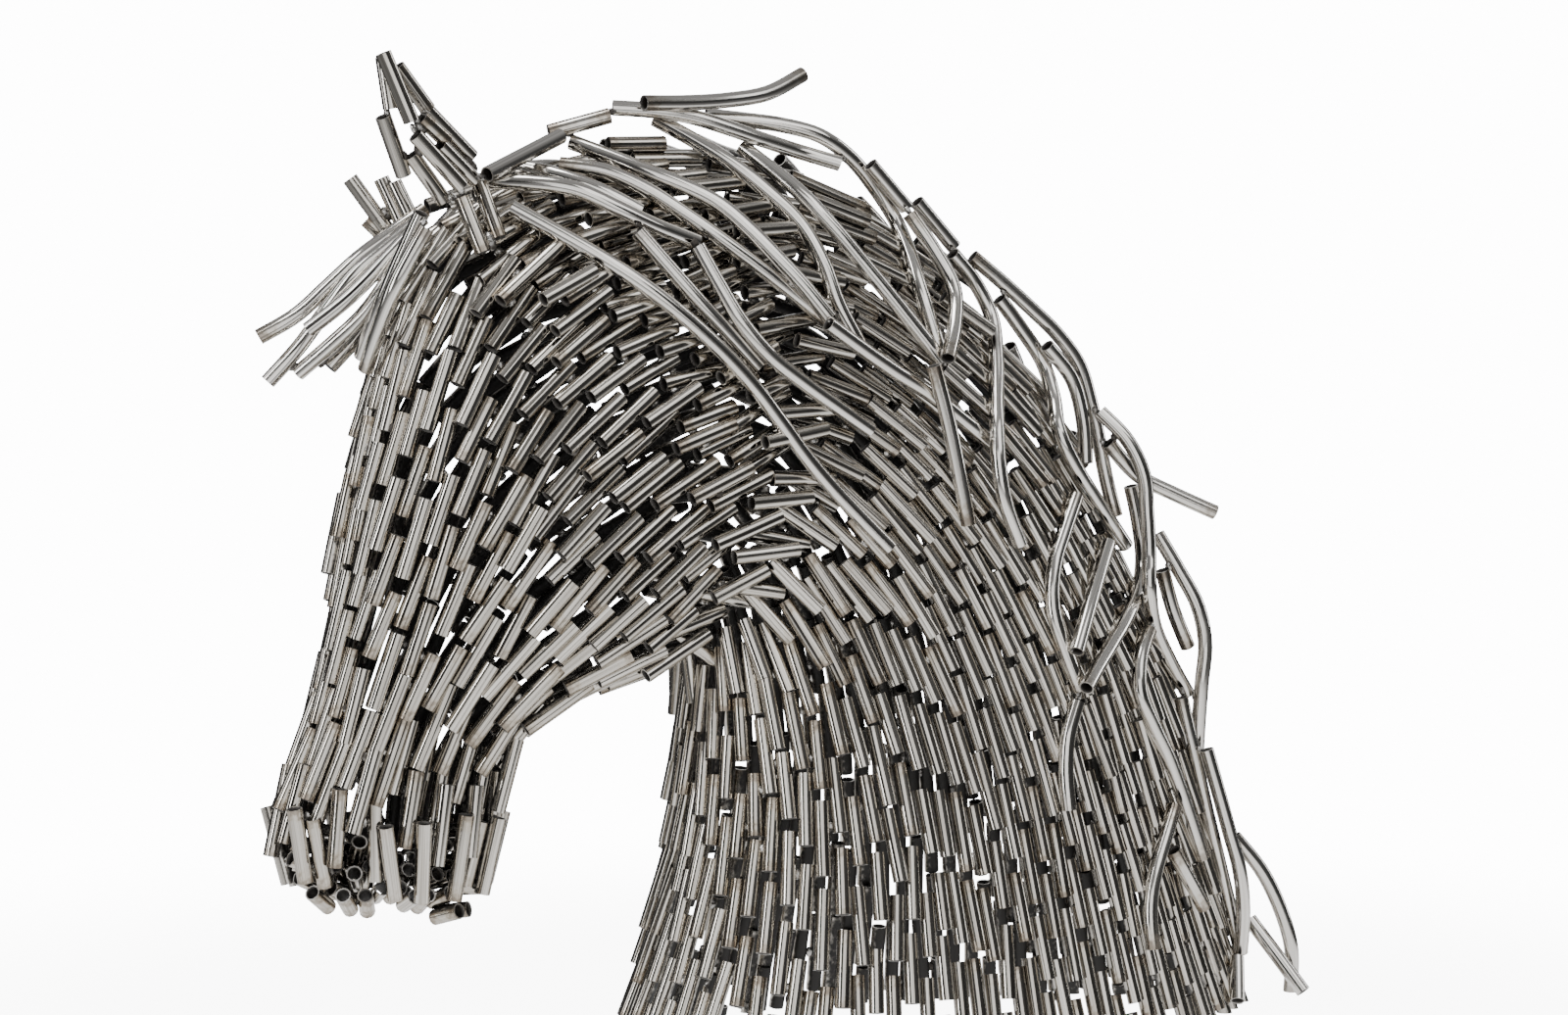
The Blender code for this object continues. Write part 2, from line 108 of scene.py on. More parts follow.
def sight_line(point):
    """The direction in which the viewer sees a point of the drawing."""
    across = (point[0] - VIEW_CENTRE[0]) * UNIT
    down = (point[1] - VIEW_CENTRE[1]) * UNIT
    return unit(ACROSS * across - UPWARDS * down - TOWARDS_VIEWER * VIEW_DISTANCE)


def on_plane(point, side):
    """The place of a drawing point on the upright plane this many units to the near side."""
    line = sight_line(point)
    return EYE + line * ((-side * UNIT - EYE[1]) / line[1])


# %% [markdown]
# ## The skin
# Head and neck are one surface, lofted through oval sections. Each row below is one section from
# the muzzle to the cut: its outer point (face, poll or crest) and inner point (chin, jaw, throat
# or chest) in the drawing, its half width, and how square it is. A place counts the rows, and a
# turn runs round a section: 0 on the outer line, a quarter on the near side.

# %% The sections
SECTIONS = (
    ((376, 924), (440, 925), 22, 0.0, 2.0, 2.0, 0),
    ((308, 900), (480, 907), 50, 0.0, 2.2, 2.2, 0),
    ((280, 844), (501, 862), 66, 0.1, 2.4, 2.3, 0),
    ((316, 735), (514, 768), 70, 0.1, 2.4, 2.3, 0),
    ((342, 600), (582, 716), 88, 0.1, 2.4, 2.4, 0),
    ((368, 450), (640, 694), 116, 0.1, 2.5, 2.6, 10),
    ((404, 300), (676, 680), 122, 0.0, 2.4, 2.5, 30),
    ((466, 210), (688, 666), 118, -0.1, 2.3, 2.5, 42),
    ((610, 158), (694, 660), 114, -0.25, 2.0, 2.5, 50),
    ((745, 154), (697, 662), 108, -0.3, 2.0, 2.4, 50),
    ((862, 202), (699, 674), 106, -0.3, 2.0, 2.3, 38),
    ((978, 300), (700, 702), 112, -0.3, 2.0, 2.3, 20),
    ((1080, 425), (699, 736), 122, -0.3, 1.9, 2.3, 8),
    ((1140, 560), (697, 786), 132, -0.3, 1.9, 2.3, 0),
    ((1185, 690), (692, 845), 144, -0.3, 1.9, 2.3, 0),
    ((1222, 850), (678, 930), 158, -0.3, 1.9, 2.3, 0),
    ((1262, CUT_LEVEL), (644, CUT_LEVEL), 174, -0.3, 1.9, 2.3, 0),
)
LAST_PLACE = len(SECTIONS) - 1


def smooth(table, place):
    """Values of the table's rows on a smooth curve through them; place counts rows from 0."""
    table = np.asarray(table, float)
    last = len(table) - 1
    row = np.clip(np.floor(place).astype(int), 0, last - 1)
    share = (place - row)[..., None]
    before = table[np.clip(row - 1, 0, last)]
    here = table[row]
    there = table[row + 1]
    after = table[np.clip(row + 2, 0, last)]
    first = 2 * here + (there - before) * share
    second = (2 * before - 5 * here + 4 * there - after) * share ** 2
    third = (3 * here - before - 3 * there + after) * share ** 3
    return 0.5 * (first + second + third)


def section_rows():
    """The sections as rows of sizes in metres on the middle plane."""
    rows = []
    for outer, inner, half_width, level, outer_power, inner_power, bow in SECTIONS:
        top = on_plane(outer, 0)
        foot = on_plane(inner, 0)
        rows.append((top[0], top[2], foot[0], foot[2], half_width * UNIT, level,
                     outer_power, inner_power, bow * UNIT))
    rows = np.array(rows)
    rows[-1, 1] = rows[-1, 3] = 0.0
    return rows


ROWS = section_rows()

# %% [markdown]
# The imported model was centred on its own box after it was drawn, so the drawing's x runs a little
# ahead of the model's. The back of the cut rim is on both, and its two places give the shift.

# %% From the drawing's place to the model's
SHIFT = np.array([ROWS[-1, 0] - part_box("head_and_neck")[1].x, 0.0, 0.0])
print("the drawing is shifted by", round(SHIFT[0] * 1000, 2), "mm")


def skin(turn, place):
    """Points of the skin over the tubes, in the model's own frame."""
    turn, place = np.broadcast_arrays(np.asarray(turn, float), np.asarray(place, float))
    row = smooth(ROWS, place)
    top = row[..., 0:2]
    foot = row[..., 2:4]
    half_width, level, outer_power, inner_power, bow = (row[..., k] for k in range(4, 9))
    up = np.cos(2 * math.pi * turn)
    side = np.sin(2 * math.pi * turn)
    power = np.where(up > 0, outer_power, inner_power)
    reach = np.abs(up) ** (2 / power)
    height = np.where(up > 0, level + (1 - level) * reach, level - (1 + level) * reach)
    width = -half_width * np.sign(side) * np.abs(side) ** (2 / power)
    axis = (top - foot) / 2
    square = unit(np.stack([axis[..., 1], -axis[..., 0]], -1))
    flat = (top + foot) / 2 + height[..., None] * axis + (bow * (1 - height ** 2))[..., None] * square
    return np.stack([flat[..., 0], width, flat[..., 1]], -1) - SHIFT


# %% [markdown]
# ## The camera
# It stands where the viewer stands. Blender's cameras look along their own -Z with +Y up, so the
# rotation is a matrix whose columns are the viewer's across, up and back directions.

# %% Camera
SENSOR_WIDTH = 36.0

camera_data = bpy.data.cameras.new("camera")
camera_data.sensor_width = SENSOR_WIDTH
camera_data.lens = SENSOR_WIDTH * VIEW_UNITS / PICTURE_WIDTH
camera_data.clip_end = 60.0
camera = bpy.data.objects.new("camera", camera_data)
bpy.context.collection.objects.link(camera)
turned = Matrix([list(row) for row in zip(ACROSS, UPWARDS, TOWARDS_VIEWER)]).to_4x4()
camera.matrix_world = Matrix.Translation(Vector(EYE - SHIFT)) @ turned
bpy.context.scene.camera = camera
print("lens", round(camera_data.lens, 1), "mm at", [round(v, 3) for v in camera.location])

# %% [markdown]
# ## The floor
# A plain pale disc. It fades away before the horizon, so no edge runs behind the bust. The fade is
# an Alpha mask worked out from the distance to the middle, in the disc's own Object coordinates.
# The camera sees it brighter than the steel does, as a floor washed by lights out of the picture.

# %% Helpers for shader nodes
def give(tree, item, inputs):
    """Sets a shader node's inputs to values, or links them to other nodes' outputs."""
    for name, value in inputs.items():
        if isinstance(value, bpy.types.NodeSocket):
            tree.links.new(value, item.inputs[name])
        else:
            item.inputs[name].default_value = value


def add(tree, kind, inputs=None, **settings):
    """Adds a shader node, sets it up, and gives it its inputs."""
    item = tree.nodes.new(kind)
    for name, value in settings.items():
        setattr(item, name, value)
    give(tree, item, inputs or {})
    return item


def calculate(tree, operation, first, second=0.0, third=0.0):
    """A Math node's result."""
    return add(tree, "ShaderNodeMath", {0: first, 1: second, 2: third}, operation=operation).outputs[0]


def between(tree, value, low, high):
    """0 below the low value, 1 above the high one, and a smooth ramp in the middle."""
    ramp = add(tree, "ShaderNodeMapRange", {"Value": value, "From Min": low, "From Max": high},
               interpolation_type="SMOOTHSTEP")
    return ramp.outputs["Result"]


def noise(tree, vector, scale, detail):
    """Soft spots about 1 / scale metres wide."""
    inputs = {"Vector": vector, "Scale": scale, "Detail": detail}
    return add(tree, "ShaderNodeTexNoise", inputs).outputs["Fac"]


def height_of(tree, vector):
    """A vector's Z."""
    return add(tree, "ShaderNodeSeparateXYZ", {0: vector}).outputs["Z"]


def new_material(name):
    """A material and its Principled BSDF."""
    item = bpy.data.materials.new(name)
    item.use_nodes = True
    return item, item.node_tree, item.node_tree.nodes["Principled BSDF"]


# %% Floor
FLOOR_RADIUS = 1.8
FADE_FROM = 0.5
FADE_TO = 1.5
FLOOR_GLOW = 9.0
FLOOR_SHINE = 1.0

pale_floor, tree, shader = new_material("pale_floor")
spot = add(tree, "ShaderNodeTexCoord").outputs["Object"]
away = add(tree, "ShaderNodeVectorMath", {0: spot}, operation="LENGTH").outputs["Value"]
fade = between(tree, away, FADE_FROM, FADE_TO)
seen = add(tree, "ShaderNodeLightPath").outputs["Is Camera Ray"]
glow = calculate(tree, "MULTIPLY_ADD", seen, FLOOR_GLOW - FLOOR_SHINE, FLOOR_SHINE)
give(tree, shader, {"Base Color": (0.5, 0.5, 0.495, 1.0), "Roughness": 0.85,
                    "Alpha": calculate(tree, "SUBTRACT", 1.0, fade),
                    "Emission Color": (1.0, 1.0, 1.0, 1.0), "Emission Strength": glow})

bm = bmesh.new()
bmesh.ops.create_circle(bm, cap_ends=True, segments=96, radius=FLOOR_RADIUS)
floor_mesh = bpy.data.meshes.new("floor")
bm.to_mesh(floor_mesh)
bm.free()
floor_mesh.materials.append(pale_floor)
floor = bpy.data.objects.new("floor", floor_mesh)
bpy.context.collection.objects.link(floor)

# %% [markdown]
# ## The light
# Steel shows nothing but what it mirrors. The broad grey band down each tube is a large soft
# panel in front, and a second panel, high on the right, does the same for the tubes of the cheek,
# which lean back. The thin bright lines are narrow lamps at the sides. Everything else is a dim
# room, which keeps the flanks of each tube dark. The backdrop is white only to the camera: were
# it white to the steel as well, the tubes would lose their dark edges.

# %% Dim room and white backdrop
BACKDROP = 14.0

world = bpy.data.worlds.new("studio")
bpy.context.scene.world = world
world.use_nodes = True
tree = world.node_tree
tree.nodes.clear()
direction = add(tree, "ShaderNodeTexCoord").outputs["Generated"]
rise = height_of(tree, direction)
above = between(tree, rise, 0.1, 0.9)
below = between(tree, rise, 0.0, -0.6)
sky_light = calculate(tree, "MULTIPLY", above, 0.30)
room_light = calculate(tree, "ADD", calculate(tree, "MULTIPLY_ADD", below, 0.20, sky_light), 0.04)
room = add(tree, "ShaderNodeBackground", {"Color": room_light, "Strength": 1.0})
white = add(tree, "ShaderNodeBackground", {"Color": (1.0, 1.0, 1.0, 1.0), "Strength": BACKDROP})
seen = add(tree, "ShaderNodeLightPath").outputs["Is Camera Ray"]
mixed = add(tree, "ShaderNodeMixShader", {0: seen, 1: room.outputs[0], 2: white.outputs[0]})
add(tree, "ShaderNodeOutputWorld", {"Surface": mixed.outputs[0]})

# %% Lamps
LOOKED_AT = Vector((0.0, 0.0, 0.42))


def lamp(name, turn, rise, distance, width, height, brightness):
    """A soft panel: degrees round from the viewer, degrees up, size, and its brightness as seen."""
    data = bpy.data.lights.new(name, "AREA")
    data.shape = "RECTANGLE"
    data.size = width
    data.size_y = height
    data.energy = brightness * math.pi * width * height
    angle = -math.pi / 2 - VIEW_TURN + math.radians(turn)
    rise = math.radians(rise)
    way = Vector((math.cos(angle) * math.cos(rise), math.sin(angle) * math.cos(rise), math.sin(rise)))
    item = bpy.data.objects.new(name, data)
    item.location = LOOKED_AT + way * distance
    item.rotation_euler = (-way).to_track_quat("-Z", "Y").to_euler()
    bpy.context.collection.objects.link(item)


lamp("front_panel", 9, 6, 3.6, 3.0, 3.0, 1.6)
lamp("high_panel", 44, 40, 3.4, 2.0, 1.8, 2.1)
lamp("left_strip", -50, 18, 3.0, 0.34, 3.6, 13.0)
lamp("far_left_strip", -84, 20, 3.0, 0.30, 3.0, 4.5)
lamp("right_strip", 112, 20, 3.0, 0.35, 2.4, 6.0)
lamp("overhead", -60, 72, 2.6, 1.0, 0.8, 10.0)
lamp("back_panel", 165, 25, 3.6, 2.2, 2.0, 1.6)

# %% [markdown]
# ## Steel
# The tube is bare drawn steel: its surface is full of fine lines along its length, which stretch
# every reflection into streaks. Near the cut ends the welding torch left straw and brown tints.
# The inward side of each tube (into the skin on the short tubes, towards the neck on the long
# tubes, the back on the ears) is painted near black: painted shade, partly soot from smoke and
# flux. Each effect is a node group that several materials share. They read the tube's own straight
# shape from the attribute "tube_place" and the tube's own four numbers from "tube_look", so they
# follow every bend.

# %% Node group: drawn streaks
def new_group(name, inputs, outputs):
    """A shader node group with its named sockets, and its input and output nodes."""
    made = bpy.data.node_groups.new(name, "ShaderNodeTree")
    for title, kind, value in inputs:
        socket = made.interface.new_socket(title, in_out="INPUT", socket_type=kind)
        if value is not None:
            socket.default_value = value
    for title, kind in outputs:
        made.interface.new_socket(title, in_out="OUTPUT", socket_type=kind)
    return made, made.nodes.new("NodeGroupInput").outputs, made.nodes.new("NodeGroupOutput").inputs


FINE_RELIEF = 0.000025
BROAD_RELIEF = 0.00013

streaks_group, given, made = new_group(
    "drawn_streaks",
    [("Place", "NodeSocketVector", None), ("Seed", "NodeSocketFloat", 0.0),
     ("Stretch", "NodeSocketFloat", 0.008)],
    [("Fine", "NodeSocketFloat"), ("Broad", "NodeSocketFloat"), ("Height", "NodeSocketFloat")])
tree = streaks_group
long_way = add(tree, "ShaderNodeCombineXYZ", {0: 1.0, 1: 1.0, 2: given["Stretch"]}).outputs[0]
squeezed = add(tree, "ShaderNodeVectorMath", {0: given["Place"], 1: long_way}, operation="MULTIPLY")
moved_by = calculate(tree, "MULTIPLY", given["Seed"], 0.37)
moved = add(tree, "ShaderNodeVectorMath", {0: squeezed.outputs[0], 1: moved_by}, operation="ADD")
fine = noise(tree, moved.outputs[0], 1300.0, 1.0)
broad = noise(tree, moved.outputs[0], 300.0, 0.5)
tree.links.new(between(tree, fine, 0.3, 0.7), made["Fine"])
tree.links.new(between(tree, broad, 0.3, 0.7), made["Broad"])
bumps = calculate(tree, "MULTIPLY", broad, BROAD_RELIEF)
tree.links.new(calculate(tree, "MULTIPLY_ADD", fine, FINE_RELIEF, bumps), made["Height"])

# %% Node group: heat tint near the ends
heat_group, given, made = new_group(
    "weld_heat",
    [("Place", "NodeSocketVector", None), ("Half Length", "NodeSocketFloat", 0.03),
     ("Seed", "NodeSocketFloat", 0.5), ("Reach", "NodeSocketFloat", 0.012)],
    [("Straw", "NodeSocketFloat"), ("Brown", "NodeSocketFloat")])
tree = heat_group
height = height_of(tree, given["Place"])
from_end = calculate(tree, "SUBTRACT", given["Half Length"], calculate(tree, "ABSOLUTE", height))
wander = calculate(tree, "MULTIPLY_ADD", noise(tree, given["Place"], 170.0, 2.0), 0.034, -0.017)
from_end = calculate(tree, "ADD", from_end, wander)
reach = calculate(tree, "MULTIPLY", given["Reach"], calculate(tree, "ADD", given["Seed"], 0.15))
share = calculate(tree, "DIVIDE", from_end, reach)
often = between(tree, given["Seed"], 0.35, 0.95)
tree.links.new(calculate(tree, "MULTIPLY", often, between(tree, share, 1.6, 0.4)), made["Straw"])
tree.links.new(calculate(tree, "MULTIPLY", often, between(tree, share, 0.9, 0.0)), made["Brown"])

# %% Node group: painted shade, partly soot, on the inward side
soot_and_shade_group, given, made = new_group(
    "soot_and_painted_shade",
    [("Place", "NodeSocketVector", None), ("Clean Above", "NodeSocketFloat", 0.2),
     ("Black Below", "NodeSocketFloat", -0.4), ("Seed", "NodeSocketFloat", 0.5)],
    [("Soot And Shade", "NodeSocketFloat")])
tree = soot_and_shade_group
# Painted shade, partly soot: the mask goes black on the side of the tube away from its own Y.
outward = add(tree, "ShaderNodeSeparateXYZ", {0: given["Place"]}).outputs["Y"]
level = calculate(tree, "DIVIDE", outward, TUBE_RADIUS)
ragged_edge = calculate(tree, "MULTIPLY_ADD", noise(tree, given["Place"], 260.0, 3.0), 1.1, -0.55)
level = calculate(tree, "ADD", level, ragged_edge)
level = calculate(tree, "ADD", level, calculate(tree, "MULTIPLY_ADD", given["Seed"], 0.5, -0.25))
tree.links.new(between(tree, level, given["Clean Above"], given["Black Below"]), made["Soot And Shade"])

# %% Steels of the tubes
# Near black for the inward side of the tubes: painted shade, partly soot.
SOOT_AND_SHADE = (0.022, 0.020, 0.018, 1.0)
STRAW = (0.42, 0.36, 0.27, 1.0)
BROWN = (0.17, 0.135, 0.105, 1.0)
FIRST_COLOUR, SECOND_COLOUR, MIXED_COLOUR = 6, 7, 2
LOOK_LENGTH = 0.1


def blend(tree, share, first, second):
    """A colour between two colours."""
    mix = add(tree, "ShaderNodeMix", {"Factor": share}, data_type="RGBA")
    give(tree, mix, {FIRST_COLOUR: first, SECOND_COLOUR: second})
    return mix.outputs[MIXED_COLOUR]


def drawn_steel(name, light, dark, shine, clean_above, black_below, heat_reach, stretch):
    """Bare drawn tube: streaks along it, heat tint at its ends, painted shade, partly soot, on its inward
    side.
    """
    item, tree, shader = new_material(name)
    place = add(tree, "ShaderNodeAttribute", attribute_name="tube_place").outputs["Vector"]
    look = add(tree, "ShaderNodeAttribute", attribute_name="tube_look")
    own = add(tree, "ShaderNodeSeparateColor", {0: look.outputs["Color"]}).outputs
    half_length = calculate(tree, "MULTIPLY", look.outputs["Alpha"], LOOK_LENGTH)
    streaks = add(tree, "ShaderNodeGroup", {"Place": place, "Seed": own["Red"], "Stretch": stretch},
                  node_tree=streaks_group).outputs
    heat = add(tree, "ShaderNodeGroup", {"Place": place, "Half Length": half_length,
                                         "Seed": own["Green"], "Reach": heat_reach},
               node_tree=heat_group).outputs
    soot_and_shade = add(tree, "ShaderNodeGroup", {"Place": place, "Seed": own["Blue"],
                                         "Clean Above": clean_above, "Black Below": black_below},
               node_tree=soot_and_shade_group).outputs["Soot And Shade"]
    tone = calculate(tree, "MULTIPLY_ADD", own["Green"], -0.45, 1.0)
    colour = blend(tree, calculate(tree, "MULTIPLY", streaks["Fine"], tone), dark, light)
    colour = blend(tree, calculate(tree, "MULTIPLY", heat["Straw"], 0.55), colour, STRAW)
    colour = blend(tree, calculate(tree, "MULTIPLY", heat["Brown"], 0.75), colour, BROWN)
    rough = calculate(tree, "MULTIPLY_ADD", streaks["Broad"], 0.10, shine)
    rough = calculate(tree, "MULTIPLY_ADD", heat["Brown"], 0.15, rough)
    relief = add(tree, "ShaderNodeBump", {"Height": streaks["Height"], "Strength": 1.0, "Distance": 1.0})
    # Painted shade: the inward side turns near black and less metallic.
    give(tree, shader, {"Base Color": blend(tree, soot_and_shade, colour, SOOT_AND_SHADE),
                        "Roughness": calculate(tree, "MULTIPLY_ADD", soot_and_shade, 0.35, rough),
                        "Metallic": calculate(tree, "MULTIPLY_ADD", soot_and_shade, -0.7, 1.0),
                        "Normal": relief.outputs["Normal"]})
    return item


TUBE_LIGHT = (0.74, 0.708, 0.655, 1.0)
TUBE_DARK = (0.40, 0.372, 0.33, 1.0)
# The forelock and mane are the same stock as the short tubes, painted lighter: painted light for their
# brighter look.
LOCK_LIGHT = (0.83, 0.805, 0.765, 1.0)
LOCK_DARK = (0.64, 0.615, 0.575, 1.0)

tube_steel = drawn_steel("tube_steel", TUBE_LIGHT, TUBE_DARK, 0.08, -0.10, -0.75, 0.010, 0.008)
lock_steel = drawn_steel("lock_steel", LOCK_LIGHT, LOCK_DARK, 0.09, -0.35, -1.2, 0.016, 0.004)
# The ears get the painted shade only on their backs, away from the viewer.
ear_steel = drawn_steel("ear_steel", TUBE_LIGHT, TUBE_DARK, 0.08, -0.55, -1.5, 0.010, 0.008)

# %% Bores and cut ends
bore_steel, tree, shader = new_material("bore_steel")
place = add(tree, "ShaderNodeAttribute", attribute_name="tube_place").outputs["Vector"]
look = add(tree, "ShaderNodeAttribute", attribute_name="tube_look")
depth = calculate(tree, "MULTIPLY", look.outputs["Alpha"], LOOK_LENGTH)
depth = calculate(tree, "SUBTRACT", depth, calculate(tree, "ABSOLUTE", height_of(tree, place)))
rust = noise(tree, place, 300.0, 3.0)
inner = blend(tree, rust, (0.020, 0.018, 0.016, 1.0), (0.060, 0.050, 0.042, 1.0))
# More than a few millimetres in from the cut end, the bore is painted near black: painted shade inside the
# bore, mottled by the noise.
colour = blend(tree, between(tree, depth, 0.0035, 0.0), inner, (0.20, 0.19, 0.18, 1.0))
give(tree, shader, {"Base Color": colour, "Metallic": 0.5,
                    "Roughness": calculate(tree, "MULTIPLY_ADD", rust, 0.3, 0.45)})

cut_steel, tree, shader = new_material("cut_steel")
spot = add(tree, "ShaderNodeTexCoord").outputs["Object"]
burr = noise(tree, spot, 900.0, 3.0)
give(tree, shader, {"Base Color": blend(tree, burr, (0.30, 0.28, 0.25, 1.0), (0.72, 0.70, 0.67, 1.0)),
                    "Roughness": calculate(tree, "MULTIPLY_ADD", burr, 0.3, 0.22), "Metallic": 1.0})

# %% Weld metal
weld_steel, tree, shader = new_material("weld_steel")
spot = add(tree, "ShaderNodeTexCoord").outputs["Object"]
scale = noise(tree, spot, 420.0, 4.0)
patch = noise(tree, spot, 60.0, 2.0)
burnt = calculate(tree, "MAXIMUM", between(tree, scale, 0.46, 0.62), between(tree, patch, 0.46, 0.60))
ripples = calculate(tree, "MULTIPLY", scale, 0.0008)
relief = add(tree, "ShaderNodeBump", {"Height": ripples, "Strength": 1.0, "Distance": 1.0})
give(tree, shader, {"Base Color": blend(tree, burnt, (0.60, 0.585, 0.56, 1.0), (0.06, 0.052, 0.045, 1.0)),
                    "Roughness": calculate(tree, "MULTIPLY_ADD", burnt, 0.4, 0.16),
                    "Metallic": calculate(tree, "MULTIPLY_ADD", burnt, -0.5, 1.0),
                    "Normal": relief.outputs["Normal"]})
steels = (tube_steel, lock_steel, ear_steel, bore_steel, cut_steel, weld_steel)
print("steels:", [steel.name for steel in steels])

# %% [markdown]
# ## Columns of tubes
# The short tubes run in columns from the muzzle up the face, over the crest and down the neck.
# Where the skin widens, the sculptor slipped in a new column, and where it narrows one stops.

# %% How the columns drift towards the crest behind the cheek
SEAM_PLACE = 8.95
DRIFT_START = 6.8
DRIFT_BEFORE = 0.065
DRIFT_AFTER = 0.032
DRIFT_RANGE = 5.0
CREST_EASE = 0.20
THROAT_EASE = 0.16


def ease(value):
    """0 below 0, 1 above 1, and a smooth step between."""
    value = np.clip(value, 0, 1)
    return value * value * (3 - 2 * value)


def column_skin(column, place, depth):
    """Points under the skin on a column; the column's number is its turn at the muzzle."""
    fold = np.abs((column + 0.5) % 1.0 - 0.5)
    side = np.where((column + 0.5) % 1.0 >= 0.5, 1.0, -1.0)
    across = ease(fold / CREST_EASE) * ease((0.5 - fold) / THROAT_EASE)
    before = np.clip((place - DRIFT_START) / (SEAM_PLACE - DRIFT_START), 0, 1)
    after = np.clip((place - SEAM_PLACE) / DRIFT_RANGE, 0, 1)
    drift = across * (DRIFT_BEFORE * before + DRIFT_AFTER * after * (2 - after))
    turn = column - side * drift
    step = 1e-3
    round_it = skin(turn + step, place) - skin(turn - step, place)
    along = skin(turn, np.minimum(place + step, LAST_PLACE)) - skin(turn, np.maximum(place - step, 0))
    outward = unit(np.cross(round_it, along))
    return skin(turn, place) - outward * depth, outward


# %% Rings of points under the skin
FIRST_RING = 1.10
RING_COUNT = 380
RING_POINTS = 289
EVEN_COUNT = 1200

even_places = np.linspace(FIRST_RING, LAST_PLACE, EVEN_COUNT)
steps = np.diff(skin(np.array([0.0, 0.25, 0.5, 0.75])[None, :], even_places[:, None]), axis=0)
even_run = np.concatenate([[0], np.cumsum(np.linalg.norm(steps, axis=2).mean(axis=1))])
ring_places = np.interp(np.linspace(0, even_run[-1], RING_COUNT), even_run, even_places)
ring_columns = np.linspace(0, 1, RING_POINTS)
ring_points, ring_outward = column_skin(ring_columns[None, :], ring_places[:, None], TUBE_RADIUS)
ring_steps = np.linalg.norm(np.diff(ring_points, axis=1), axis=2)
ring_run = np.concatenate([np.zeros((RING_COUNT, 1)), np.cumsum(ring_steps, axis=1)], axis=1)
print("round the muzzle %.3f m, round the cut %.3f m" % (ring_run[0, -1], ring_run[-1, -1]))

# %% [markdown]
# Columns are grown ring by ring. On each ring every column leans a little towards the middle of
# its two neighbours. Where a gap is wide enough for another column, one starts; where two come
# too close, the younger one stops.

# %% Growing the columns
LEAN = 0.15
LEANS_PER_RING = 2
START_GAP = 1.22
STOP_GAP = 0.74


def gaps_after(spots, whole):
    """The gap from each column to the next one round the ring."""
    return np.append(np.diff(spots), spots[0] + whole - spots[-1])


def grow_columns():
    """Every column: its first ring, and its number and its room on each ring from there."""
    count = int(ring_run[0, -1] / COLUMN_STEP)
    living = [{"first": 0, "numbers": [], "rooms": []} for _ in range(count)]
    here = np.interp((np.arange(count) + 0.5) / count * ring_run[0, -1], ring_run[0], ring_columns)
    done = []
    for ring in range(RING_COUNT):
        whole = ring_run[ring, -1]
        spots = np.interp(here, ring_columns, ring_run[ring])
        for turn in range(LEANS_PER_RING):
            gaps = gaps_after(spots, whole)
            spots = spots + LEAN * (gaps - np.roll(gaps, 1)) / 2
        spots = np.clip(spots, 1e-6, whole - 1e-6)
        gaps = gaps_after(spots, whole)
        while gaps.min() < STOP_GAP * COLUMN_STEP:
            tight = int(np.argmin(gaps))
            other = (tight + 1) % len(spots)
            younger = tight if living[tight]["first"] > living[other]["first"] else other
            done.append(living.pop(younger))
            spots = np.delete(spots, younger)
            gaps = gaps_after(spots, whole)
        while gaps.max() > START_GAP * COLUMN_STEP:
            wide = int(np.argmax(gaps))
            new_spot = (spots[wide] + gaps[wide] / 2) % whole
            at = int(np.searchsorted(spots, new_spot))
            living.insert(at, {"first": ring, "numbers": [], "rooms": []})
            spots = np.insert(spots, at, new_spot)
            gaps = gaps_after(spots, whole)
        here = np.interp(spots, ring_run[ring], ring_columns)
        rooms = np.minimum(gaps, np.roll(gaps, 1))
        for column, number, room in zip(living, here, rooms):
            column["numbers"].append(number)
            column["rooms"].append(room)
    return done + living


columns = grow_columns()
print("columns:", len(columns))

# %% [markdown]
# ## Where each tube lies in its column
# A column's path is read off the rings. Tubes are strung on it like beads on a wire, and then
# slide until each one lies beside the gaps of its neighbours, as bricks do in a running bond.

# %% The paths of the columns
ROOM_TO_START = 0.74
SHORTEST_PATH = 0.8


def column_path(column):
    """The points and outward directions along one column's usable stretch."""
    rooms = np.array(column["rooms"])
    free = np.nonzero(rooms > ROOM_TO_START * COLUMN_STEP)[0]
    if len(free) == 0:
        return None
    first = 0 if column["first"] == 0 else free[0]
    reaches_cut = column["first"] + len(rooms) == RING_COUNT
    last = len(rooms) - 1 if reaches_cut else free[-1]
    rings = column["first"] + np.arange(first, last + 1)
    spots = np.array(column["numbers"][first:last + 1]) * (RING_POINTS - 1)
    low = np.clip(spots.astype(int), 0, RING_POINTS - 2)
    share = (spots - low)[:, None]
    points = ring_points[rings, low] * (1 - share) + ring_points[rings, low + 1] * share
    outward = ring_outward[rings, low] * (1 - share) + ring_outward[rings, low + 1] * share
    if len(points) < 2:
        return None
    if reaches_cut:
        points = np.vstack([points, points[-1] + unit(points[-1] - points[-2]) * SHORT_LENGTH])
        outward = np.vstack([outward, outward[-1]])
    run = np.concatenate([[0], np.cumsum(np.linalg.norm(np.diff(points, axis=0), axis=1))])
    keep = np.concatenate([[True], np.diff(run) > 1e-7])
    places = np.append(ring_places[rings], [LAST_PLACE] * (len(points) - len(rings)))
    return {"points": points[keep], "outward": outward[keep], "run": run[keep], "places": places[keep]}


def read_at(distance, run, table):
    """The row of a table of points or directions at a distance along a line."""
    return np.array([np.interp(distance, run, table[:, axis]) for axis in range(3)])


def along_path(path, run):
    """The point of a path at a distance along it."""
    return read_at(run, path["run"], path["points"])


def places_at(path, run):
    """The place on the skin at a distance along a path."""
    return float(np.interp(run, path["run"], path["places"]))


def outward_at(path, run):
    """The outward direction at a distance along a path."""
    return unit(read_at(run, path["run"], path["outward"]))


